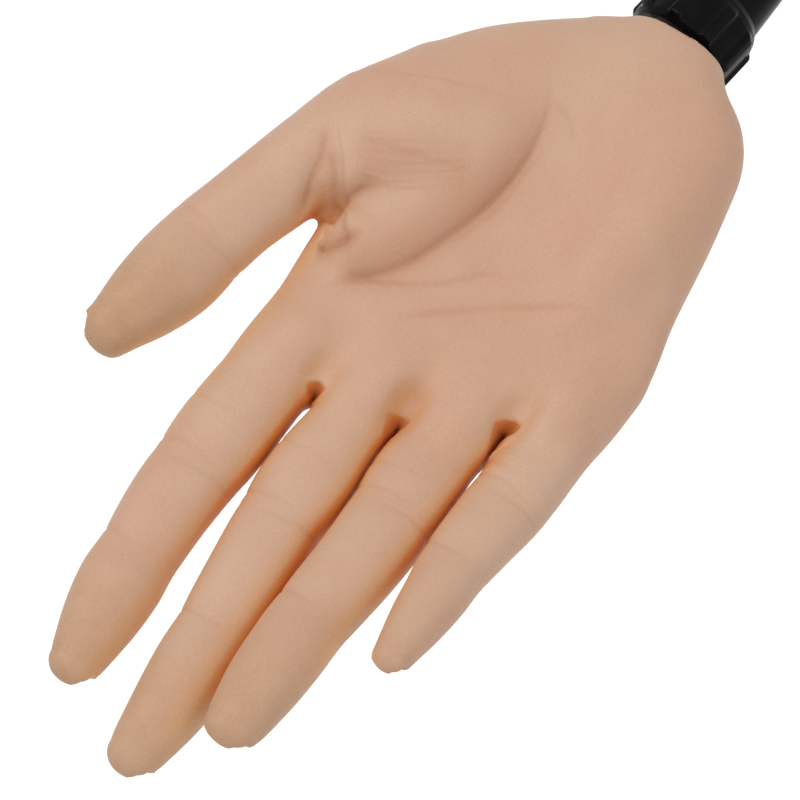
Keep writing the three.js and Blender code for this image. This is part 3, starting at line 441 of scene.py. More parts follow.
def back_relief(points):
    """How far the knuckles and the tendons behind them stand out of the back of the hand."""
    relief = np.zeros(len(points))
    for name in FINGERS:
        knuckle = digits[name].places[0][:2]
        span = knuckle - TENDON_START
        length = np.linalg.norm(span)
        offset = points[:, :2] - TENDON_START
        share = offset @ span / length**2
        aside = np.abs(offset @ np.array([-span[1], span[0]])) / length
        relief += TENDON_HEIGHT * plateau(share, 0.1, 0.5, 0.9, 1.05) * bell(aside, TENDON_WIDTH)
        relief += KNUCKLE_HEIGHT * bell(row_lengths(points[:, :2] - knuckle), KNUCKLE_WIDTH)
    return relief * smooth_step(-2, -8, points[:, 2])


def wrist_rooms(points):
    """About the signed distance to the nut's room and the insert's seat, both round the ball's axis."""
    radial = np.hypot(points[:, 0], points[:, 2] - WRIST_AXIS_HEIGHT)
    nut_room = np.maximum(radial - NUT_ROOM_RADIUS, -points[:, 1])
    seat = np.maximum(radial - SEAT_RADIUS, -points[:, 1] - SEAT_DEPTH)
    return np.minimum(nut_room, seat)


def skin_field(points, finger_gap=FINGER_GAP):
    """About the signed distance to the smooth skin."""
    field = smooth_min(palm_distance(points), thenar_limb.distance(points), THENAR_JOIN)
    for centre, radii, width in MOUNDS:
        field = smooth_min(field, mound_distance(points, centre, radii), width)
    each = np.stack([digits[name].limb.distance(points) for name in FINGERS])
    nearest, second = np.sort(each, axis=0)[:2]
    ahead = np.interp(points[:, 0], WEB_LINE[0], WEB_LINE[1]) - points[:, 1]
    apart = (nearest - second + finger_gap) / 2 - GAP_CLOSING * (1 - smooth_step(-1, 3, ahead))
    field = np.maximum(smooth_min(field, nearest, FINGER_JOIN), apart)
    field = smooth_min(field, digits["thumb"].limb.distance(points), THUMB_JOIN)
    front = smooth_step(-2, 6, points[:, 2])
    for (x, y), (half_x, half_y), depth in HOLLOWS:
        reach = ((points[:, 0] - x) / half_x) ** 2 + ((points[:, 1] - y) / half_y) ** 2
        field = field + depth * np.exp(-reach) * front
    field = field - back_relief(points)
    return -smooth_min(-field, wrist_rooms(points), ROOM_EDGE)


# Folds of the palm, from the wrist's side on. A fold is cut so deep and wide, lies in a valley so deep and
# wide, and the flesh on one side of it swells so high and broad: above zero on its left, below zero on its
# right. Then come the shares of its length over which it fades in and out, and its line
PLAIN = (0, 1)
FOLDS = {
    "ball_of_thumb": ((0.45, 0.7), (0.6, 3.4), (-3.3, 8.0), (0.45, 0.12), [
        (-17.5, -23.7), (-11.8, -32), (-9.7, -36.4), (-8.2, -42.6), (-7.6, -49), (-8.3, -58.7),
        (-10.2, -67.5), (-13.5, -78), (-17, -84.7), (-21.2, -89.9), (-24.2, -92.4), (-27.4, -95.7),
    ]),
    "beside_ball": ((0.22, 0.6), PLAIN, PLAIN, (0.2, 0.2), [
        (-6.2, -41.4), (-6.3, -58), (-8.3, -66.3), (-10.5, -74.4),
    ]),
    "branch": ((0.2, 0.6), PLAIN, PLAIN, (0.2, 0.3), [(-10.6, -32), (-4.1, -34.3), (-0.6, -38.7)]),
    "head": ((0.3, 0.65), (0.25, 3.0), PLAIN, (0.15, 0.35), [
        (-25.5, -90.9), (-20.5, -89.2), (-8.9, -82.5), (-3.2, -77.1), (0.5, -72.2), (7.5, -68.1),
        (10.4, -64.8),
    ]),
    "heart": ((0.3, 0.65), (0.3, 3.4), PLAIN, (0.25, 0.3), [
        (-10.8, -95.5), (-4.8, -88.1), (0.9, -82.6), (10, -74.6), (19.5, -68.9), (27.3, -65),
    ]),
    "web_upper": ((0.7, 0.7), (1.7, 2.3), PLAIN, (0.02, 0.5), [
        (-35.3, -82), (-34.7, -80.3), (-34.3, -77.9), (-33.5, -76.1), (-31.9, -72.8), (-28.6, -69.5),
    ]),
    "web_lower": ((0.7, 0.7), (1.6, 2.3), PLAIN, (0.02, 0.5), [
        (-33.6, -87.8), (-31.9, -87.2), (-30, -85.7), (-28.4, -83.9), (-27.1, -82), (-26, -79.4),
    ]),
    "thumb_outer": ((0.4, 0.7), (0.9, 2.6), PLAIN, (0.02, 0.35), [
        (-38.6, -84.5), (-41.1, -80.6), (-42.9, -76), (-44.2, -71.9), (-46.1, -67.9), (-47.9, -65.3),
    ]),
    "thumb_inner": ((0.35, 0.7), (0.9, 2.4), PLAIN, (0.02, 0.35), [
        (-35.6, -79.5), (-37.6, -76.5), (-40.5, -73.4), (-43.6, -71.5),
    ]),
}

# Fine wrinkles that run side by side over the ball of the thumb
WRINKLE_LINE = [(-39.5, -70.5), (-33, -67), (-27, -63), (-21, -58.9), (-14.5, -54.2)]
WRINKLE_STEPS = [-4.6, -3.3, -2.1, -1.0, 0.2, 1.5, 2.7, 4.1, 5.4]
WRINKLE_DEPTH = 0.2
WRINKLE_WIDTH = 0.42
# How strongly painted shade darkens the wrinkled patch
WRINKLE_PAINTED_SHADE = 0.4
WRINKLED_HALF_WIDTH = 6.5

# The painted shade in the band that a swelling throws beside its fold: how strong, how far from the fold and how
# broad
BAND_PAINTED_SHADE = 0.65
BAND_PLACE = 4.0
BAND_WIDTH = 6.0

# Creases across the digits: which joint, how far past it in millimetres, depth and width
DIGIT_CREASES = {
    name: [(1, -1.7, 0.3, 0.55), (1, 1.6, 0.24, 0.55), (2, 0.0, 0.26, 0.55), (0, 9.5, 0.16, 0.7)]
    for name in FINGERS
}
DIGIT_CREASES["thumb"] = [(1, -1.3, 0.3, 0.55), (1, 1.5, 0.24, 0.55)]
CREASE_BOW = 1.4
# How much painted shade darkens a crease across a digit
CREASE_PAINTED_SHADE = 0.2
WAIST_DEPTH = 0.22
WAIST_WIDTH = 3.6
# How much painted shade darkens a joint's waist
WAIST_PAINTED_SHADE = 0.08
BACK_CREASES = {
    name: [(1, -3.4), (1, -1.7), (1, 0.0), (1, 1.7), (1, 3.4), (2, -1.0), (2, 1.0)] for name in FINGERS
}
BACK_CREASES["thumb"] = [(1, -2.6), (1, -0.9), (1, 0.9), (1, 2.6)]
BACK_CREASE_DEPTH = 0.28
BACK_CREASE_WIDTH = 0.6
# How much painted shade darkens a crease on a digit's back
BACK_CREASE_PAINTED_SHADE = 0.3

# The nail's bed on the back of a fingertip, and its slot, whose mouth is a step in one side of the tip
BED_SHARE = 0.42
BED_WIDTH = 0.74
BED_DEPTH = 0.9
BED_ROOT_DEPTH = 0.7
# How much painted shade darkens the groove at the nail bed's root
BED_ROOT_PAINTED_SHADE = 0.7
BED_BOW = 0.22
SLOT_MOUTH = 3.8
SLOT_STEP = 0.95

# How strongly each fingertip takes the fingertips' yellower colour
TIP_WARMTH = {"index": 0.95, "middle": 0.85, "ring": 0.8, "pinky": 0.35, "thumb": 1.25}


def line_place(spots, line):
    """Signed distance to a line, positive on its left, and the share of its length at the nearest point."""
    best = np.full(len(spots), np.inf)
    side, share = np.ones(len(spots)), np.zeros(len(spots))
    spans = np.diff(line, axis=0)
    lengths = row_lengths(spans)
    travelled = np.concatenate([[0], np.cumsum(lengths)])
    for i, (start, span, length) in enumerate(zip(line, spans, lengths)):
        offset = spots - start
        along = np.clip(offset @ span / length**2, 0, 1)
        gap = row_lengths(offset - along[:, None] * span)
        nearer = gap < best
        best[nearer] = gap[nearer]
        side[nearer] = np.where(span[0] * offset[:, 1] > span[1] * offset[:, 0], 1, -1)[nearer]
        share[nearer] = ((travelled[i] + along * length) / travelled[-1])[nearer]
    return best * side, share


def fold_relief(points, facing):
    """Relief of the palm's folds and wrinkles, and the painted shade at each point: in the folds' bottoms, over
    the wrinkles and in the band beside a swelling.
    """
    relief, depth = np.zeros(len(points)), np.zeros(len(points))
    spots = points[:, :2]
    for (groove, width), (valley, reach), (swell, spread), (fade_in, fade_out), line in FOLDS.values():
        gap, share = line_place(spots, catmull_rom(line, 6))
        fade = plateau(share, 0, fade_in, 1 - fade_out, 1) * facing
        side = gap * np.sign(swell)
        away = np.maximum(side, 0) / spread
        relief += fade * abs(swell) * away * np.exp(1 - away)
        relief -= fade * (groove * bell(gap, width) + valley * bell(gap, reach))
        # Painted shade in the fold's groove and valley
        bottom = 0.5 * bell(gap, width) * min(groove / 0.4, 1) + 0.4 * bell(gap, reach) * min(valley, 1)
        depth += fade * bottom
        # Painted shade in the band beside the swelling
        if swell:
            depth += BAND_PAINTED_SHADE * fade * bell(side - BAND_PLACE, BAND_WIDTH)
    gap, share = line_place(spots, catmull_rom(WRINKLE_LINE, 6))
    fade = plateau(share, 0, 0.2, 0.8, 1) * facing
    # Painted shade over the wrinkled patch
    depth += WRINKLE_PAINTED_SHADE * fade * bell(gap, WRINKLED_HALF_WIDTH)
    for i, step in enumerate(WRINKLE_STEPS):
        wave = step + 0.35 * np.sin(share * 9 + 2.1 * i)
        line = bell(gap - wave, WRINKLE_WIDTH) * fade * (0.6 + 0.4 * np.sin(share * 5 + i))
        relief -= WRINKLE_DEPTH * line
        # Painted shade in each wrinkle's line
        depth += 0.25 * line
    return relief, depth


def digit_relief(name, points):
    """Relief of a digit's creases and nail bed, the painted shade in its creases, its joints' waists and its
    nail bed's root, and how near the tip.
    """
    digit = digits[name]
    along, a, b, beyond, (half, palmar, dorsal) = digit.limb.local(points)
    across = a / half
    palm_side = smooth_step(-0.35, 0.25, b / palmar)
    back_side = smooth_step(-0.1, -0.6, b / dorsal)
    relief, crease = np.zeros(len(points)), np.zeros(len(points))
    for joint, offset, depth, width in DIGIT_CREASES[name]:
        bow = CREASE_BOW * np.sin(3.0 * across + joint + offset) * 0.35
        faint = 0.55 + 0.45 * np.sin(2.4 * across + 1.7 * joint + 3 * offset)
        line = bell(along - digit.joint_along[joint] - offset - bow, width) * palm_side * faint
        relief -= depth * line
        crease += CREASE_PAINTED_SHADE * line
    for joint in range(1, len(digit.axes)):
        waist = bell(along - digit.joint_along[joint], WAIST_WIDTH) * palm_side
        relief -= WAIST_DEPTH * waist
        crease += WAIST_PAINTED_SHADE * waist
    for joint, offset in BACK_CREASES[name]:
        bow = CREASE_BOW * (1 - across**2) * np.sign(offset) * 0.5
        line = bell(along - digit.joint_along[joint] - offset - bow, BACK_CREASE_WIDTH) * back_side
        relief -= BACK_CREASE_DEPTH * line
        crease += BACK_CREASE_PAINTED_SHADE * line
    last = digit.joint_along[-1] - digit.joint_along[-2] + TIP_ROUNDING[name]
    from_end = along + beyond - digit.joint_along[-1] - TIP_ROUNDING[name]
    slot_side = across if name != "thumb" else -across
    root = -last * BED_SHARE * (1 - BED_BOW * across**2)
    inside = smooth_step(BED_WIDTH + 0.05, BED_WIDTH - 0.05, np.abs(across))
    inside = inside * smooth_step(-0.05, -0.3, b / dorsal)
    bed = inside * smooth_step(root - 0.4, root + 0.4, from_end)
    reach = -0.25 + 0.55 * smooth_step(0.1, 0.8, slot_side)
    mouth = smooth_step(-SLOT_MOUTH - 0.35, -SLOT_MOUTH + 0.35, from_end)
    mouth = mouth * smooth_step(reach + 0.12, reach - 0.12, b / palmar)
    relief -= np.maximum(BED_DEPTH * bed, SLOT_STEP * mouth)
    relief -= BED_ROOT_DEPTH * inside * bell(from_end - root - 0.6, 0.7)
    crease += BED_ROOT_PAINTED_SHADE * inside * bell(from_end - root, 0.9)
    tip = TIP_WARMTH[name] * smooth_step(-last * 1.15, -last * 0.1, from_end)
    return relief, crease, tip


def gradient(points, field, step=0.05):
    corners = np.array([[1, -1, -1], [-1, -1, 1], [-1, 1, -1], [1, 1, 1]], float)
    total = np.zeros_like(points)
    for corner in corners:
        total += corner * field(points + corner * step)[:, None]
    return total / (4 * step)


def onto_surface(points, field, rounds=2):
    for _ in range(rounds):
        slope = gradient(points, field)
        steep = np.maximum((slope**2).sum(1), 0.05)
        move = np.clip(field(points) / steep, -2, 2)
        points = points - slope * move[:, None]
    return points


EDGES = [(0, 1), (2, 3), (4, 5), (6, 7), (0, 2), (1, 3), (4, 6), (5, 7), (0, 4), (1, 5), (2, 6), (3, 7)]


def surface_net(field, low, high, cell):
    """Points and quads of a field's zero surface."""
    counts = np.ceil((high - low) / cell).astype(int) + 1
    axes = [low[i] + cell * np.arange(counts[i]) for i in range(3)]
    values = np.empty(counts)
    for i, x in enumerate(axes[0]):
        y, z = np.meshgrid(axes[1], axes[2], indexing="ij")
        slab = np.stack([np.full(y.size, x), y.ravel(), z.ravel()], axis=1)
        values[i] = field(slab).reshape(y.shape)
    corners = [(i, j, k) for i in (0, 1) for j in (0, 1) for k in (0, 1)]
    size = counts - 1
    block = [values[i : i + size[0], j : j + size[1], k : k + size[2]] for i, j, k in corners]
    inside = sum((part < 0).astype(int) for part in block)
    crossed = (inside > 0) & (inside < 8)
    cells = np.argwhere(crossed)
    index = np.full(size, -1)
    index[crossed] = np.arange(len(cells))
    parts = np.stack([part[crossed] for part in block], axis=1)
    offsets = np.array(corners, float)
    total, hits = np.zeros((len(cells), 3)), np.zeros(len(cells))
    for a, b in EDGES:
        cross = (parts[:, a] < 0) != (parts[:, b] < 0)
        share = np.where(cross, parts[:, a] / np.where(cross, parts[:, a] - parts[:, b], 1), 0)
        place = offsets[a] + (offsets[b] - offsets[a]) * share[:, None]
        total += place * cross[:, None]
        hits += cross
    points = low + cell * (cells + total / hits[:, None])
    quads = []
    for axis in range(3):
        u, v = (axis + 1) % 3, (axis + 2) % 3
        ahead = [slice(None)] * 3
        here = [slice(None)] * 3
        ahead[axis], here[axis] = slice(1, None), slice(None, -1)
        for side in (u, v):
            ahead[side] = here[side] = slice(1, -1)
        first, second = values[tuple(here)] < 0, values[tuple(ahead)] < 0
        where = np.argwhere(first != second) + np.array([0 if i == axis else 1 for i in range(3)])
        outward = first[first != second]
        step_u, step_v = np.eye(3, dtype=int)[u], np.eye(3, dtype=int)[v]
        ring = [where - step_u - step_v, where - step_v, where, where - step_u]
        faces = np.stack([index[tuple(cell_at.T)] for cell_at in ring], axis=1)
        faces[~outward] = faces[~outward][:, ::-1]
        quads.append(faces)
    return points, np.vstack(quads)


def neighbours_mean(points, quads):
    total, count = np.zeros_like(points), np.zeros(len(points))
    for i in range(4):
        a, b = quads[:, i], quads[:, (i + 1) % 4]
        for here, there in ((a, b), (b, a)):
            np.add.at(total, here, points[there])
            np.add.at(count, here, 1)
    return total / count[:, None]


def subdivide(points, quads):
    """Each quad in four, with new points on its edges and in its middle."""
    pairs = np.vstack([quads[:, [i, (i + 1) % 4]] for i in range(4)])
    keys, inverse = np.unique(np.sort(pairs, axis=1), axis=0, return_inverse=True)
    inverse = inverse.reshape(-1)
    edge_points = points[keys].mean(axis=1)
    middle_points = points[quads].mean(axis=1)
    n, e, f = len(points), len(keys), len(quads)
    edge_of = [n + inverse[i * f : (i + 1) * f] for i in range(4)]
    middle = n + e + np.arange(f)
    fine = [np.stack([quads[:, i], edge_of[i], middle, edge_of[(i + 3) % 4]], axis=1) for i in range(4)]
    return np.vstack([points, edge_points, middle_points]), np.vstack(fine)


def vertex_normals(points, quads):
    corners = points[quads]
    normal = np.cross(corners[:, 2] - corners[:, 0], corners[:, 3] - corners[:, 1])
    total = np.zeros_like(points)
    for i in range(4):
        np.add.at(total, quads[:, i], normal)
    return unit_rows(total)


CELL = 1.1
FIELD_LOW = np.array([-72.0, -212.0, -26.0])
FIELD_HIGH = np.array([52.0, 6.0, 38.0])
OPEN_GAP = 2 * CELL
OCCLUSION_REACH = (3.0, 7.0, 14.0, 24.0)


def open_field(points):
    """The skin with its fingers further apart, so that a coarse mesh keeps them separate."""
    return skin_field(points, OPEN_GAP)


class Skin:
    """The whole hand's skin as one mesh, with what its colour needs at each point, painted shade among it."""

    def __init__(self):
        points, quads = surface_net(open_field, FIELD_LOW, FIELD_HIGH, CELL)
        for _ in range(3):
            points = points + 0.5 * (neighbours_mean(points, quads) - points)
            points = onto_surface(points, open_field, 1)
        points, quads = subdivide(points, quads)
        points = onto_surface(points, skin_field, 3)
        normals = vertex_normals(points, quads)
        self.quads = quads
        # How closed in the skin is, which sets its painted shade
        self.shade = self.occlusion(points, normals)
        self.nearest, self.along = self.digit_at(points)
        facing = smooth_step(0.05, 0.45, normals[:, 2]) * smooth_step(-2, 3, points[:, 2])
        relief, self.fold = fold_relief(points, facing)
        self.tip = np.zeros(len(points))
        for i, name in enumerate(DIGITS):
            own = self.nearest == i
            own_relief, crease, self.tip[own] = digit_relief(name, points[own])
            relief[own] += own_relief
            self.fold[own] += crease
        self.points = points + normals * relief[:, None]
        self.normals = vertex_normals(self.points, quads)

    def occlusion(self, points, normals):
        """How closed in each point is by the skin round it, from 0 in the open to 1 in a deep fold: the strength
        of the painted shade there.
        """
        total = np.zeros(len(points))
        for reach in OCCLUSION_REACH:
            total += np.clip(1 - skin_field(points + normals * reach) / reach, 0, 1)
        return total / len(OCCLUSION_REACH)

    def digit_at(self, points):
        """The nearest digit to each point, and how far along it the point lies."""
        gaps = np.stack([digits[name].limb.distance(points) for name in DIGITS], axis=1)
        nearest = np.argmin(gaps, axis=1)
        along = np.zeros(len(points))
        for i, name in enumerate(DIGITS):
            own = nearest == i
            along[own] = digits[name].limb.local(points[own])[0]
        return nearest, along


# How far past its first joint, less a margin, a digit's first piece begins. The thumb's is measured along a way
# of its own, which keeps the web between thumb and palm in the palm's piece
ROOT_START = {"index": -3.7, "middle": -2.0, "ring": 0.6, "pinky": 3.6, "thumb": 5.8}
ROOT_MARGIN = 0.7
THUMB_ROOT_WAY = unit([-0.74, -0.67, 0])

# How far along a digit's first bone, and along its others, the next joint's piece begins, as a share of the bone
SEAM_SHARE = {"index": 0.5, "middle": 0.5, "ring": 0.5, "pinky": 0.65, "thumb": 0.71}
LATER_SEAM_SHARE = 0.5


def root_direction(digit):
    if digit.name == "thumb":
        return THUMB_ROOT_WAY
    return unit(digit.places[1] - digit.places[0])


def seam_share(digit, joint):
    """How far along the bone past a joint, as a share of it, the next joint's piece begins."""
    return SEAM_SHARE[digit.name] if joint == 0 else LATER_SEAM_SHARE


def split_skin(skin):
    """The faces of each piece: the palm, and for each digit one piece at each joint."""
    centres = skin.points[skin.quads].mean(axis=1)
    corner = skin.quads[:, 0]
    owner = np.full(len(skin.quads), -1)
    names = []
    for i, name in enumerate(DIGITS):
        digit = digits[name]
        ahead = (centres - digit.places[0]) @ root_direction(digit) > ROOT_START[name] - ROOT_MARGIN
        own = (skin.nearest[corner] == i) & ahead
        along = skin.along[corner]
        for joint in range(len(digit.axes)):
            share = seam_share(digit, joint)
            finish = (1 - share) * digit.joint_along[joint] + share * digit.joint_along[joint + 1]
            last = joint == len(digit.axes) - 1
            here = own if last else own & (along < finish)
            owner[here] = len(names)
            own = own & ~here
            names.append((name, joint))
    pieces = {("palm", 0): np.flatnonzero(owner < 0)}
    for i, key in enumerate(names):
        pieces[key] = np.flatnonzero(owner == i)
    return pieces


def new_object(name, places, faces, material, normals=None):
    """An object of a mesh in frame metres."""
    mesh = bpy.data.meshes.new(name)
    mesh.from_pydata(np.asarray(places).tolist(), [], [tuple(map(int, face)) for face in faces])
    mesh.update()
    mesh.shade_smooth()
    if normals is not None:
        mesh.normals_split_custom_set_from_vertices(np.asarray(normals).tolist())
    mesh.materials.append(material)
    return add_object(name, mesh)


def add_attribute(piece, name, values):
    """A number or a vector on each of a mesh's points, for its material."""
    kind, field = ("FLOAT_VECTOR", "vector") if values.ndim == 2 else ("FLOAT", "value")
    attribute = piece.data.attributes.new(name, kind, "POINT")
    attribute.data.foreach_set(field, values.astype(np.float32).ravel())


def skin_piece(name, skin, faces, material):
    used, compact = np.unique(skin.quads[faces], return_inverse=True)
    compact = compact.reshape(-1, 4)
    piece = new_object(name, to_world(skin.points[used]), compact, material, skin.normals[used] @ TURN.T)
    # The shade and fold attributes carry the painted shade
    fold = np.clip(skin.fold, 0, 1)
    for title, values in (("rest", skin.points), ("shade", skin.shade), ("fold", fold), ("tip", skin.tip)):
        add_attribute(piece, title, values[used])
    return piece


PIECE_NAMES = {3: ["base", "mid", "tip"], 2: ["base", "tip"]}


def add_hand(material):
    skin = Skin()
    pieces = split_skin(skin)
    palm = skin_piece("palm", skin, pieces[("palm", 0)], material)
    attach(palm, "hand")
    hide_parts("palm_skin")
    for name in DIGITS:
        for joint, segment in enumerate(SEGMENTS[name]):
            title = f"{name}_{PIECE_NAMES[len(SEGMENTS[name])][joint]}"
            piece = skin_piece(title, skin, pieces[(name, joint)], material)
            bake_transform(piece)
            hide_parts(f"{name}_{segment}_skin", f"{name}_{JOINT_NAMES[name][joint]}_sleeve")


class Shader:
    """A material, or the world, and short ways to add nodes to it."""

    def __init__(self, name, world=False):
        self.owner = (bpy.data.worlds if world else bpy.data.materials).new(name)
        self.owner.use_nodes = True
        self.nodes = self.owner.node_tree.nodes
        self.links = self.owner.node_tree.links
        self.surface = self.nodes["Background" if world else "Principled BSDF"]

    def link(self, value, socket):
        if isinstance(value, bpy.types.NodeSocket):
            self.links.new(value, socket)
        elif value is not None:
            socket.default_value = value

    def attribute(self, name, output="Fac"):
        node = self.nodes.new("ShaderNodeAttribute")
        node.attribute_name = name
        return node.outputs[output]

    def place(self):
        """The point's own place in the piece, in millimetres."""
        node = self.nodes.new("ShaderNodeTexCoord")
        return self.stretch(node.outputs["Object"], [1 / MM] * 3)

    def stretch(self, place, scale, turn=(0, 0, 0)):
        node = self.nodes.new("ShaderNodeMapping")
        node.inputs["Scale"].default_value = scale
        node.inputs["Rotation"].default_value = turn
        self.links.new(place, node.inputs["Vector"])
        return node.outputs["Vector"]

    def noise(self, place, scale, detail=3.0):
        node = self.nodes.new("ShaderNodeTexNoise")
        node.inputs["Scale"].default_value = scale
        node.inputs["Detail"].default_value = detail
        self.links.new(place, node.inputs["Vector"])
        return node.outputs["Fac"]

    def mottle(self, place, scale, detail, low=0.0, high=1.0):
        """Noise that runs from one value to another."""
        return self.ramp(self.noise(place, scale, detail), 0.3, 0.7, low, high)

    def cells(self, place, scale, feature="F1"):
        node = self.nodes.new("ShaderNodeTexVoronoi")
        node.feature = feature
        node.inputs["Scale"].default_value = scale
        self.links.new(place, node.inputs["Vector"])
        return node.outputs["Distance"]

    def ramp(self, value, low, high, low_to=0.0, high_to=1.0, smooth=True):
        node = self.nodes.new("ShaderNodeMapRange")
        node.interpolation_type = "SMOOTHSTEP" if smooth else "LINEAR"
        for i, number in enumerate((low, high, low_to, high_to)):
            node.inputs[1 + i].default_value = number
        self.link(value, node.inputs["Value"])
        return node.outputs["Result"]

    def maths(self, operation, first, second):
        node = self.nodes.new("ShaderNodeMath")
        node.operation = operation
        self.link(first, node.inputs[0])
        self.link(second, node.inputs[1])
        return node.outputs[0]

    def seen(self):
        """1 for a ray that comes straight from the camera, a mirror or glass, and 0 for other light."""
        path = self.nodes.new("ShaderNodeLightPath")
        direct = self.maths("MAXIMUM", path.outputs["Is Camera Ray"], path.outputs["Is Glossy Ray"])
        return self.maths("MAXIMUM", direct, path.outputs["Is Transmission Ray"])

    def mix(self, share, first, second):
        node = self.nodes.new("ShaderNodeMix")
        node.data_type = "RGBA"
        self.link(share, node.inputs[0])
        for value, socket in ((first, node.inputs[6]), (second, node.inputs[7])):
            self.link((*value, 1) if isinstance(value, tuple) else value, socket)
        return node.outputs[2]

    def bump(self, height, strength, distance, below=None):
        node = self.nodes.new("ShaderNodeBump")
        node.inputs["Strength"].default_value = strength
        node.inputs["Distance"].default_value = distance
        self.links.new(height, node.inputs["Height"])
        if below is not None:
            self.links.new(below, node.inputs["Normal"])
        return node.outputs["Normal"]

    def finish(self, colour, roughness, normal=None, **fixed):
        self.link((*colour, 1) if isinstance(colour, tuple) else colour, self.surface.inputs["Base Color"])
        self.link(roughness, self.surface.inputs["Roughness"])
        if normal is not None:
            self.links.new(normal, self.surface.inputs["Normal"])
        for name, value in fixed.items():
            self.surface.inputs[name.replace("_", " ").title().replace("Ior", "IOR")].default_value = value
        return self.owner


SKIN_PALE = (0.66, 0.425, 0.295)
SKIN_ROSY = (0.64, 0.375, 0.25)
SKIN_TIP = (0.535, 0.31, 0.175)
# Painted shade: warm where the skin is closed in, deep orange in its deepest hollows, dark warm in its folds and
# creases
SKIN_PAINTED_SHADE = (0.74, 0.42, 0.21)
SKIN_PAINTED_DEEP_SHADE = (0.78, 0.28, 0.055)
SKIN_PAINTED_FOLD_SHADE = (0.46, 0.17, 0.07)
SKIN_BLOTCH = (0.70, 0.42, 0.28)
SKIN_SPECK = (0.25, 0.12, 0.07)
SKIN_FLECK = (0.85, 0.68, 0.55)


def silicone():
    """Flesh-coloured silicone, yellower at the fingertips: pale on the mounds, with painted warm shade where it
    is closed in and in its folds and creases.
    """
    s = Shader("silicone")
    place = s.attribute("rest", "Vector")
    cloud = s.ramp(s.noise(place, 0.035, 2.0), 0.35, 0.65)
    colour = s.mix(cloud, SKIN_PALE, SKIN_ROSY)
    colour = s.mix(s.ramp(s.attribute("tip"), 0.0, 1.25, 0.0, 1.0, smooth=False), colour, SKIN_TIP)
    colour = s.mix(s.mottle(place, 0.22, 3.0, 0.0, 0.22), colour, SKIN_BLOTCH)
    grain = s.mottle(place, 1.6, 2.0, 0.97, 1.03)
    # Painted shade from how closed in the skin is: warm, then deep orange in the deepest hollows
    shadow = s.attribute("shade")
    colour = s.mix(s.ramp(shadow, 0.03, 0.55, 0.0, 0.85, smooth=False), colour, SKIN_PAINTED_SHADE)
    colour = s.mix(s.ramp(shadow, 0.64, 1.0, 0.0, 0.8), colour, SKIN_PAINTED_DEEP_SHADE)
    # Painted shade in the folds, creases and wrinkles
    colour = s.mix(s.maths("MULTIPLY", s.attribute("fold"), 0.5), colour, SKIN_PAINTED_FOLD_SHADE)
    colour = s.mix(s.ramp(s.cells(place, 0.16), 0.02, 0.036, 0.35, 0.0), colour, SKIN_SPECK)
    turned = s.stretch(place, (1, 1, 1), (0.5, 0.3, 0.9))
    colour = s.mix(s.ramp(s.cells(turned, 0.11), 0.016, 0.03, 0.3, 0.0), colour, SKIN_FLECK)
    tone = s.nodes.new("ShaderNodeHueSaturation")
    s.links.new(colour, tone.inputs["Color"])
    s.links.new(grain, tone.inputs["Value"])
    rough = s.mottle(place, 0.5, 3.0, 0.50, 0.60)
    pores = s.bump(s.cells(place, 1.9), 0.10, 0.00012)
    lines = s.noise(s.stretch(place, (0.35, 2.2, 0.8), (0, 0, 0.6)), 0.9, 3.0)
    normal = s.bump(lines, 0.14, 0.00016, pores)
    normal = s.bump(s.noise(place, 0.12, 3.0), 0.12, 0.0006, normal)
    return s.finish(tone.outputs["Color"], rough, normal, specular_ior_level=0.36)


add_hand(silicone())


def black_plastic():
    """Moulded plastic, almost black, with a faint texture and finer scuffs."""
    s = Shader("black_plastic")
    place = s.place()
    colour = s.mix(s.mottle(place, 0.12, 3.0), (0.002, 0.002, 0.0025), (0.005, 0.005, 0.006))
    rough = s.mottle(place, 0.5, 4.0, 0.16, 0.26)
    texture = s.bump(s.noise(place, 5.0, 2.0), 0.06, 0.00005)
    normal = s.bump(s.noise(s.stretch(place, (0.3, 3.0, 0.3)), 1.2, 2.0), 0.04, 0.00008, texture)
    return s.finish(colour, rough, normal, specular_ior_level=0.06)


def black_coat():
    """The gooseneck's black coating, brighter where the turns of the wire stand out: wear there, and a painted
    highlight.
    """
    s = Shader("black_coat")
    place = s.place()
    geometry = s.nodes.new("ShaderNodeNewGeometry")
    # Brighter on the wire's crests: wear, and a painted highlight
    wear_and_highlight = s.ramp(geometry.outputs["Pointiness"], 0.51, 0.58, 0.0, 0.35)
    colour = s.mix(s.mottle(place, 0.2, 3.0), (0.014, 0.014, 0.015), (0.024, 0.024, 0.025))
    colour = s.mix(wear_and_highlight, colour, (0.09, 0.09, 0.09))
    rough = s.mottle(place, 0.8, 3.0, 0.32, 0.46)
    normal = s.bump(s.noise(place, 3.0, 3.0), 0.1, 0.00006)
    return s.finish(colour, rough, normal, specular_ior_level=0.25)


def black_enamel():
    """Stove enamel on cast metal: the cells of orange peel over slow waves."""
    s = Shader("black_enamel")
    place = s.place()
    colour = s.mix(s.mottle(place, 0.06, 3.0), (0.013, 0.013, 0.014), (0.021, 0.021, 0.022))
    rough = s.mottle(place, 0.3, 4.0, 0.28, 0.42)
    peel = s.bump(s.cells(place, 0.75, "SMOOTH_F1"), 0.22, 0.00025)
    normal = s.bump(s.noise(place, 0.09, 2.0), 0.2, 0.0006, peel)
    return s.finish(colour, rough, normal, specular_ior_level=0.3)


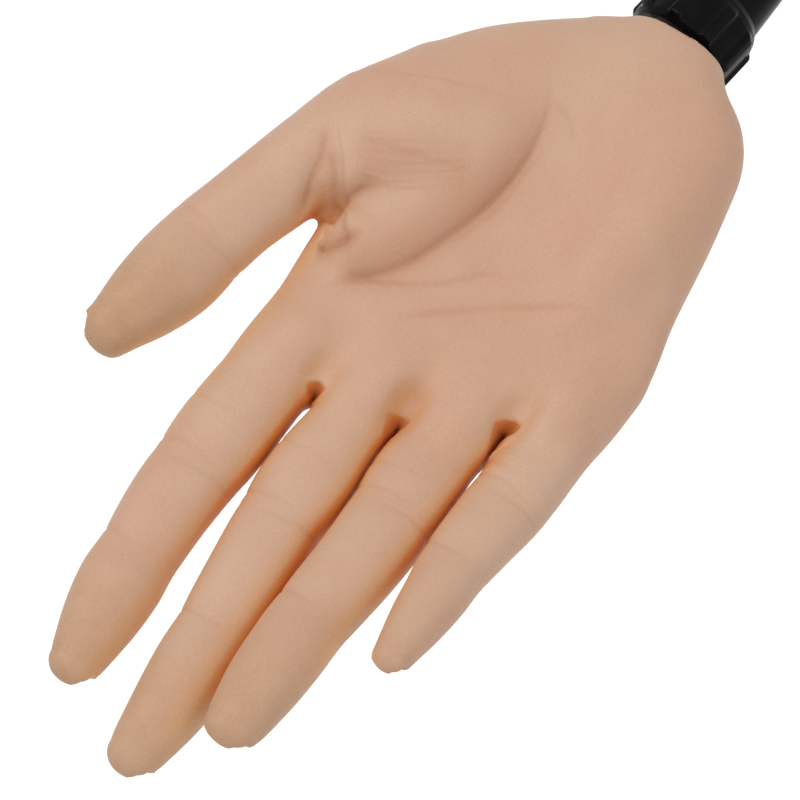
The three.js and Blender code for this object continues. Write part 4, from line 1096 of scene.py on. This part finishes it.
def rubber():
    """Matt black rubber with fine ribs across it."""
    s = Shader("rubber")
    place = s.place()
    colour = s.mix(s.mottle(place, 0.4, 4.0), (0.018, 0.018, 0.018), (0.034, 0.033, 0.032))
    rough = s.mottle(place, 1.0, 3.0, 0.68, 0.86)
    wave = s.nodes.new("ShaderNodeTexWave")
    wave.bands_direction = "Y"
    wave.inputs["Scale"].default_value = 0.22
    s.links.new(place, wave.inputs["Vector"])
    grain = s.bump(s.noise(place, 6.0, 2.0), 0.25, 0.00008)
    return s.finish(colour, rough, s.bump(wave.outputs["Fac"], 0.5, 0.0003, grain))


def turned_metal(name, light, dark, stretch):
    """Metal with the fine marks of the lathe across its axis."""
    s = Shader(name)
    place = s.place()
    marks = s.noise(s.stretch(place, stretch), 1.0, 3.0)
    colour = s.mix(s.ramp(marks, 0.3, 0.7), dark, light)
    colour = s.mix(s.ramp(s.noise(place, 0.25, 4.0), 0.55, 0.8, 0.0, 0.4), colour, dark)
    rough = s.ramp(marks, 0.3, 0.7, 0.2, 0.34)
    return s.finish(colour, rough, s.bump(marks, 0.12, 0.00005), metallic=1.0)


def bone_plastic():
    """Milky moulded plastic with faint flow lines and a soft texture."""
    s = Shader("bone_plastic")
    place = s.place()
    flow = s.noise(s.stretch(place, (0.6, 0.12, 0.6)), 0.6, 3.0)
    colour = s.mix(s.ramp(flow, 0.3, 0.7), (0.72, 0.69, 0.60), (0.82, 0.80, 0.73))
    rough = s.mottle(place, 0.6, 3.0, 0.36, 0.5)
    return s.finish(colour, rough, s.bump(s.noise(place, 4.0, 2.0), 0.1, 0.00006))


UPRIGHT = (0, 0, 1)
OUTWARD = (0, 1, 0)
SIDE = np.array([1.0, 0, 0])


def rounded_line(corners, radius, steps=4, closed=False):
    """A line of points whose corners are rounded, by less where a stretch is short."""
    corners = np.asarray(corners, float)
    made = []
    for i, corner in enumerate(corners):
        if not closed and i in (0, len(corners) - 1):
            made.append(corner)
            continue
        before, after = corners[i - 1] - corner, corners[(i + 1) % len(corners)] - corner
        sizes = np.linalg.norm(before), np.linalg.norm(after)
        before, after = before / sizes[0], after / sizes[1]
        half = math.acos(float(np.clip(before @ after, -1, 1))) / 2
        if half > 1.45:
            made.append(corner)
            continue
        cut = min(radius / math.tan(half), 0.45 * min(sizes))
        for t in np.arange(steps + 1) / steps:
            start, finish = corner + before * cut, corner + after * cut
            made.append(start * (1 - t) ** 2 + 2 * corner * t * (1 - t) + finish * t**2)
    return np.array(made)


def ring_piece(name, rings, material, body, slot, nodes=(), loop=False):
    """A closed piece through rings of points in frame millimetres, whose end rings are filled or joined.

    It gets normals that keep flat faces flat, the body that it rides on and the nodes that it stands for.
    """
    rings = np.asarray(rings, float)
    count, sides = rings.shape[:2]
    grid = np.arange(count * sides).reshape(count, sides)
    if loop:
        grid = np.vstack([grid, grid[:1]])
    beside = np.roll(grid, -1, axis=1)
    faces = np.stack([grid[:-1], beside[:-1], beside[1:], grid[1:]], axis=-1).reshape(-1, 4).tolist()
    if not loop:
        faces += [grid[0][::-1].tolist(), grid[-1].tolist()]
    piece = new_object(name, rings.reshape(-1, 3) * MM, faces, material)
    mesh = bmesh.new()
    mesh.from_mesh(piece.data)
    bmesh.ops.recalc_face_normals(mesh, faces=mesh.faces)
    mesh.to_mesh(piece.data)
    mesh.free()
    piece.data.shade_smooth()
    piece.modifiers.new("normals", "WEIGHTED_NORMAL").keep_sharp = True
    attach(piece, body)
    for node in nodes:
        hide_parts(node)
    return piece


def spokes_round(side, way, angles):
    """Unit vectors at these angles about a way, from one side of it on."""
    return np.cos(angles)[:, None] * side + np.sin(angles)[:, None] * np.cross(way, side)


def revolved(profile, centre, along, sides=72, swell=None):
    """Rings of a profile of radius and place along an axis, which may swell with the angle."""
    along = np.array(along, float)
    angles = 2 * np.pi * np.arange(sides) / sides
    spokes = spokes_round(SIDE, along, angles)
    rings = []
    for i, (radius, place) in enumerate(profile):
        reach = np.full(sides, radius) if swell is None else radius + swell(i, angles)
        rings.append(np.array(centre) + along * place + spokes * reach[:, None])
    return np.array(rings)


def turned_piece(name, profile, rounding, centre, *rest, along=UPRIGHT):
    """A piece turned from a profile whose corners are rounded."""
    return ring_piece(name, revolved(rounded_line(profile, rounding), centre, along), *rest)


# The lock nut and the neck, about the ball's centre with the hand ahead of them
NUT_RIBS = 9
NUT_RIB_TURN = 0.3
NUT_RIB_HALF = 1.5
NUT_RIB_ENDS = (-6.9, -5.6, 3.2, 5.0)
NUT_FINE_STEP = 0.5
NUT_PROFILE = [
    (7.4, -6.2), (8.94, -7.5), (11.8, -7.5), (13.0, -6.3), (13.0, 4.1), (12.5, 5.8), (11.7, 7.1), (11.5, 7.5),
    (11.4, 7.4), (11.4, -2.8), (9.18, -2.8), (8.7, -4.1), (7.9, -5.5),
]
NECK_PROFILE = [
    (0.4, 9.6), (3.7, 8.9), (6.8, 6.8), (8.9, 3.7), (9.6, 0), (9.6, -2.5), (11.1, -2.5), (11.1, 6.6),
    (11.2, 8.2), (9.7, 24.5), (8.0, 27.0), (8.0, 36.0), (0.4, 36.0),
]


def add_nut(material):
    outside = rounded_line(NUT_PROFILE[1:7], 0.7, 5)
    fine = []
    for start, finish in zip(outside[:-1], outside[1:]):
        steps = max(1, int(np.linalg.norm(finish - start) / NUT_FINE_STEP))
        fine += [start + (finish - start) * i / steps for i in range(steps)]
    profile = np.vstack([[NUT_PROFILE[0]], fine, NUT_PROFILE[6:]])
    last = 1 + len(fine)

    def swell(i, angles):
        radius, place = profile[i]
        if not 1 < i < last or radius < 12.4:
            return np.zeros(len(angles))
        high = plateau(place, *NUT_RIB_ENDS)
        turned = (angles - NUT_RIB_TURN + np.pi / NUT_RIBS) % (2 * np.pi / NUT_RIBS) - np.pi / NUT_RIBS
        return high * (1 - smooth_step(NUT_RIB_HALF - 0.35, NUT_RIB_HALF + 0.55, np.abs(turned) * radius))

    rings = revolved(profile, BALL, OUTWARD, 216, swell)
    ring_piece("nut_shell", rings, material, "nut", "black_plastic", ["lock_nut"], loop=True)


GOOSENECK_RADIUS = 6.5
GOOSENECK_GROOVE = 0.5
GOOSENECK_PITCH = 2.4
BEND_RADIUS = 70.0
BEND_START = 166.0
NECK_START = 49.9
STRAIGHT_UP = BEND_START - NECK_START
STRAIGHT_OUT = 68.7
SPLIT_LENGTH = STRAIGHT_UP + BEND_RADIUS * math.radians(40)
BEND_LENGTH = BEND_RADIUS * math.pi / 2


def gooseneck_place(length):
    """The gooseneck's middle so far along it, and the way it runs there."""
    if length < STRAIGHT_UP:
        return np.array([0, 0, NECK_START + length]), np.array([0, 0, 1.0])
    turned = min((length - STRAIGHT_UP) / BEND_RADIUS, math.pi / 2)
    past = max(length - STRAIGHT_UP - BEND_LENGTH, 0)
    back, up = math.sin(turned), math.cos(turned)
    place = np.array([0, BEND_RADIUS * (up - 1) - past, BEND_START + BEND_RADIUS * back])
    return place, np.array([0, -back, up])


def gooseneck_rings(start, finish, sides=40):
    """Rings of wound wire, whose turns run round the neck without a break."""
    steps = int((finish - start) / GOOSENECK_PITCH * 8)
    angles = 2 * np.pi * np.arange(sides) / sides
    rings = []
    for length in np.linspace(start, finish, steps + 1):
        place, way = gooseneck_place(length)
        turn = (length / GOOSENECK_PITCH - angles / (2 * np.pi)) % 1
        crown = np.sqrt(np.clip(1 - (2 * turn - 1) ** 2 * 0.96, 0, 1))
        plain = max(1 - smooth_step(0, 3, length - start), smooth_step(-3, 0, length - finish))
        radius = GOOSENECK_RADIUS - GOOSENECK_GROOVE * (1 - crown) * (1 - plain) - 0.15 * plain
        rings.append(place + spokes_round(SIDE, way, angles) * np.reshape(radius, (-1, 1)))
    return rings


def add_gooseneck(material):
    rings = gooseneck_rings(0, SPLIT_LENGTH)
    ring_piece("neck_wire_lower", rings, material, "arm_lower", "gooseneck_metal", ["gooseneck_lower"])
    whole = STRAIGHT_UP + BEND_LENGTH + STRAIGHT_OUT
    rings = gooseneck_rings(SPLIT_LENGTH + 0.1, whole)
    nodes = ["gooseneck_upper"]
    upper = ring_piece("neck_wire_upper", rings, material, "arm_upper", "gooseneck_metal", nodes)
    upper.parent = None
    upper.matrix_world = Matrix.Identity(4)
    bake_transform(upper)


# The clamp, in the frame's own millimetres: its outline seen from the side, as Y and Z
CLAMP_HALF_WIDTH = 13.0
CLAMP_OUTLINE = [
    (5, 2.3), (5, -49.7), (-30, -49.7), (-31.5, -52.7), (-30, -57.7), (-24, -60.7), (15, -60.7), (15, 10.3),
    (-22, 10.3), (-36, 5.3), (-36, 2.3),
]
CLAMP_CORNERS = [3, 3, 0.8, 1, 1.5, 3, 6, 6, 8, 1.2, 1.2]
SOCKET_PROFILE = [(0.4, 13.0), (7.3, 13.0), (7.3, 26.3), (11.5, 26.3), (11.5, 10.0), (0.4, 10.0)]
BOSS_PROFILE = [(5.3, -64.7), (9.0, -64.7), (9.0, -60.0), (5.3, -60.0), (5.3, -64.7)]
FOOT_PROFILE = [
    (0.4, 13.3), (6.4, 13.3), (7, 13.9), (7, 26.6), (11.5, 26.6), (11.5, 32.6), (10.5, 33.6), (8, 44.6),
    (8, 49.6), (0.4, 49.6),
]
SCREW_PLACE = (0, -18, 0)
PLATE_PROFILE = [
    (0.4, -28.3), (3.8, -28.3), (3.8, -30.3), (11, -30.3), (12.5, -28.8), (12.5, -26.3), (0.4, -26.3),
]
PAD_PROFILE = [(0.4, -26.0), (11.5, -26.0), (11.5, -24.0), (0.4, -24.0)]
CLAMP_EDGE = 0.9
BORE_PROFILE = [(5.3, -75), (5.3, -40)]
PAD_HALF_WIDTH = 11.5
PAD_OUTLINE = [(-11.5, -34), (11.5, -34), (11.5, 2), (-11.5, 2)]
# How far the upper pad's outline is drawn in at each height
PAD_LAYERS = [(0.5, 0.0), (0.15, 0.12), (0, 0.45), (0, 1.6), (0.1, 1.85), (0.4, 2.0)]
# The screw's thread, between its low and high end, and the plain stretches below and above it
THREAD_PITCH = 3.0
THREAD_DEPTH = 0.7
THREAD_ENDS = (-86.6, -84.5, -35.5, -33.3)
SCREW_STEP = 0.25
SCREW_FOOT = [(3, -99.4), (3, -87.6), (4.9, -87.2)]
SCREW_HEAD = [(4.9, -32.6), (4.6, -31.5), (3.5, -30.4), (3.5, -28.6)]
SCREW_RADIUS = 5.0
KNOB_PROFILE = [
    (5.5, -87.6), (8, -87.6), (17, -88.6), (17, -99.6), (9, -99.6), (7.5, -98.6), (0.4, -98.6),
]
KNOB_LOBES = 7
KNOB_LOBE_DEPTH = 2.2


def clamp_rings():
    """The clamp's outline across its width, drawn in at both sides by a rounded edge."""
    corners = np.array(CLAMP_OUTLINE, float)
    line = []
    for i, radius in enumerate(CLAMP_CORNERS):
        three = corners[[i - 1, i, (i + 1) % len(corners)]]
        line.append(rounded_line(three, radius, 6)[1:-1])
    line = np.vstack(line)
    way = unit_rows(np.roll(line, -1, axis=0) - line) + unit_rows(line - np.roll(line, 1, axis=0))
    way = unit_rows(way)
    inward = np.stack([-way[:, 1], way[:, 0]], axis=1)
    rings = []
    for side in (-1, 1):
        turns = np.linspace(0, math.pi / 2, 6)
        for turn in turns[::-side]:
            inset, step = CLAMP_EDGE * (1 - math.sin(turn)), CLAMP_EDGE * (1 - math.cos(turn))
            flat = line + inward * inset
            x = side * (CLAMP_HALF_WIDTH - step)
            rings.append(np.column_stack([np.full(len(flat), x), flat]))
    return rings


def cut_bore(piece, material):
    """Cuts the screw's bore out of the clamp, for good."""
    rings = revolved(BORE_PROFILE, SCREW_PLACE, UPRIGHT)
    bore = ring_piece("bore", rings, material, "clamp", "black_enamel")
    piece.modifiers.new("bore", "BOOLEAN").object = bore
    piece.modifiers.move(1, 0)
    graph = bpy.context.evaluated_depsgraph_get()
    made = bpy.data.meshes.new_from_object(piece.evaluated_get(graph))
    piece.modifiers.clear()
    piece.data = made
    bpy.data.objects.remove(bore)


def pad_rings():
    outline = rounded_line(PAD_OUTLINE, 2.5, 6, closed=True)
    middle = outline.mean(axis=0)
    rings = []
    for inset, height in PAD_LAYERS:
        flat = middle + (outline - middle) * (1 - inset / PAD_HALF_WIDTH)
        rings.append(np.column_stack([flat, np.full(len(flat), height)]))
    return rings


def add_clamp(enamel, soft, steel):
    look = enamel, "clamp", "black_enamel"
    cut_bore(ring_piece("clamp_frame", clamp_rings(), *look, ["clamp_body"]), enamel)
    turned_piece("clamp_socket", SOCKET_PROFILE, 0.8, (0, 0, 0), *look)
    boss = revolved(rounded_line(BOSS_PROFILE, 0.8), SCREW_PLACE, UPRIGHT)
    ring_piece("clamp_boss", boss[:-1], *look, loop=True)
    ring_piece("pad_upper", pad_rings(), soft, "clamp", "pad_rubber", ["upper_pad"])
    turned_piece("pad_lower", PAD_PROFILE, 0.5, SCREW_PLACE, soft, "press", "pad_rubber", ["lower_pad"])
    turned_piece("plate", PLATE_PROFILE, 0.4, SCREW_PLACE, steel, "press", "steel", ["pressure_plate"])


def add_screw(material):
    middle = [(SCREW_RADIUS, place) for place in np.arange(THREAD_ENDS[0], THREAD_ENDS[3], SCREW_STEP)]
    profile = SCREW_FOOT + middle + SCREW_HEAD

    def swell(i, angles):
        place = profile[i][1]
        if not THREAD_ENDS[0] <= place <= THREAD_ENDS[3]:
            return np.zeros(len(angles))
        turn = (place / THREAD_PITCH - angles / (2 * np.pi)) % 1
        groove = smooth_step(0.12, 0.3, np.abs(turn - 0.5))
        return -THREAD_DEPTH * (1 - groove) * plateau(place, *THREAD_ENDS)

    rings = revolved(profile, SCREW_PLACE, UPRIGHT, 48, swell)
    ring_piece("screw_rod", rings, material, "screw", "steel", ["clamp_screw"])


def add_knob(material):
    profile = rounded_line(KNOB_PROFILE, 2.4, 6)

    def swell(i, angles):
        share = np.clip((profile[i][0] - 6) / 11, 0, 1)
        return -KNOB_LOBE_DEPTH * share**2 * (0.5 - 0.5 * np.cos(KNOB_LOBES * angles)) ** 0.8

    rings = revolved(profile, SCREW_PLACE, UPRIGHT, 140, swell)
    ring_piece("knob", rings, material, "screw", "black_plastic", ["clamp_knob"])


def dress_nodes(material, nodes):
    """A material on nodes whose own shape stays."""
    for node in nodes:
        mesh_object = bpy.data.objects[node]
        for place in mesh_object.material_slots:
            place.material = material


def add_stand():
    plastic, coat, enamel, soft = black_plastic(), black_coat(), black_enamel(), rubber()
    steel = turned_metal("steel", (0.62, 0.62, 0.63), (0.42, 0.42, 0.43), (0.4, 0.4, 6.0))
    brass = turned_metal("brass", (0.78, 0.60, 0.30), (0.55, 0.38, 0.16), (0.4, 6.0, 0.4))
    stud_steel = turned_metal("stud_steel", (0.66, 0.66, 0.67), (0.45, 0.45, 0.46), (0.4, 6.0, 0.4))
    bone = bone_plastic()
    add_nut(plastic)
    look = "black_plastic"
    names = ["neck_cone"]
    turned_piece("neck_cup", NECK_PROFILE, 0.6, BALL, plastic, "arm_upper", look, names, along=OUTWARD)
    add_gooseneck(coat)
    turned_piece("foot", FOOT_PROFILE, 0.8, (0, 0, 0), plastic, "arm_lower", look, ["arm_foot"])
    add_clamp(enamel, soft, steel)
    add_screw(steel)
    add_knob(plastic)
    bones = [node for node in frame["nodes"] if node.endswith("_bone")]
    dress_nodes(bone, bones + ["palm_frame", "socket_liner"])
    dress_nodes(brass, ["wrist_insert"])
    dress_nodes(stud_steel, ["ball_stud"])


add_stand()

# The floor lies under the knob's lowest place
FLOOR_HEIGHT = -0.1185
FLOOR_RADIUS = 1.5
FLOOR_SIDES = 96
FLOOR_GLOW = 0.5


def add_floor():
    """A pale disc that looks white where no shadow falls on it."""
    s = Shader("floor")
    s.finish((0.8, 0.8, 0.8), 0.9, specular_ior_level=0.0)
    glow = s.nodes.new("ShaderNodeEmission")
    glow.inputs["Color"].default_value = (1, 1, 1, 1)
    s.links.new(s.maths("MULTIPLY", s.seen(), FLOOR_GLOW), glow.inputs["Strength"])
    both = s.nodes.new("ShaderNodeAddShader")
    s.links.new(s.surface.outputs[0], both.inputs[0])
    s.links.new(glow.outputs[0], both.inputs[1])
    s.links.new(both.outputs[0], s.nodes["Material Output"].inputs["Surface"])
    angles = 2 * np.pi * np.arange(FLOOR_SIDES) / FLOOR_SIDES
    places = np.column_stack([np.cos(angles), np.sin(angles), np.zeros(FLOOR_SIDES)]) * FLOOR_RADIUS
    disc = new_object("floor", places + [0, -0.1, FLOOR_HEIGHT], [range(FLOOR_SIDES)], s.owner)


add_floor()


def add_lights():
    right, up, back = view_axes()
    centre = Vector(to_world([-5, -95, 0]))

    def lamp(name, way, distance, size, power):
        data = bpy.data.lights.new(name, "AREA")
        data.shape = "DISK"
        data.size = size
        data.energy = power
        made = add_object(name, data)
        made.location = centre + way.normalized() * distance
        made.rotation_euler = way.to_track_quat("Z", "Y").to_euler()

    lamp("key", -0.6 * right + 0.5 * up + 0.8 * back, 1.2, 0.9, 5.2)
    lamp("fill", 0.6 * right - 0.2 * up + 0.9 * back, 1.4, 1.2, 3.2)


WORLD_LIGHT = 0.55


def add_world():
    """White to look at, and dimmer as a light."""
    s = Shader("studio", world=True)
    s.surface.inputs["Color"].default_value = (1, 1, 1, 1)
    s.link(s.ramp(s.seen(), 0.0, 1.0, WORLD_LIGHT, 1.0, smooth=False), s.surface.inputs["Strength"])
    bpy.context.scene.world = s.owner


add_lights()
add_world()
bpy.context.scene.view_settings.view_transform = "Standard"
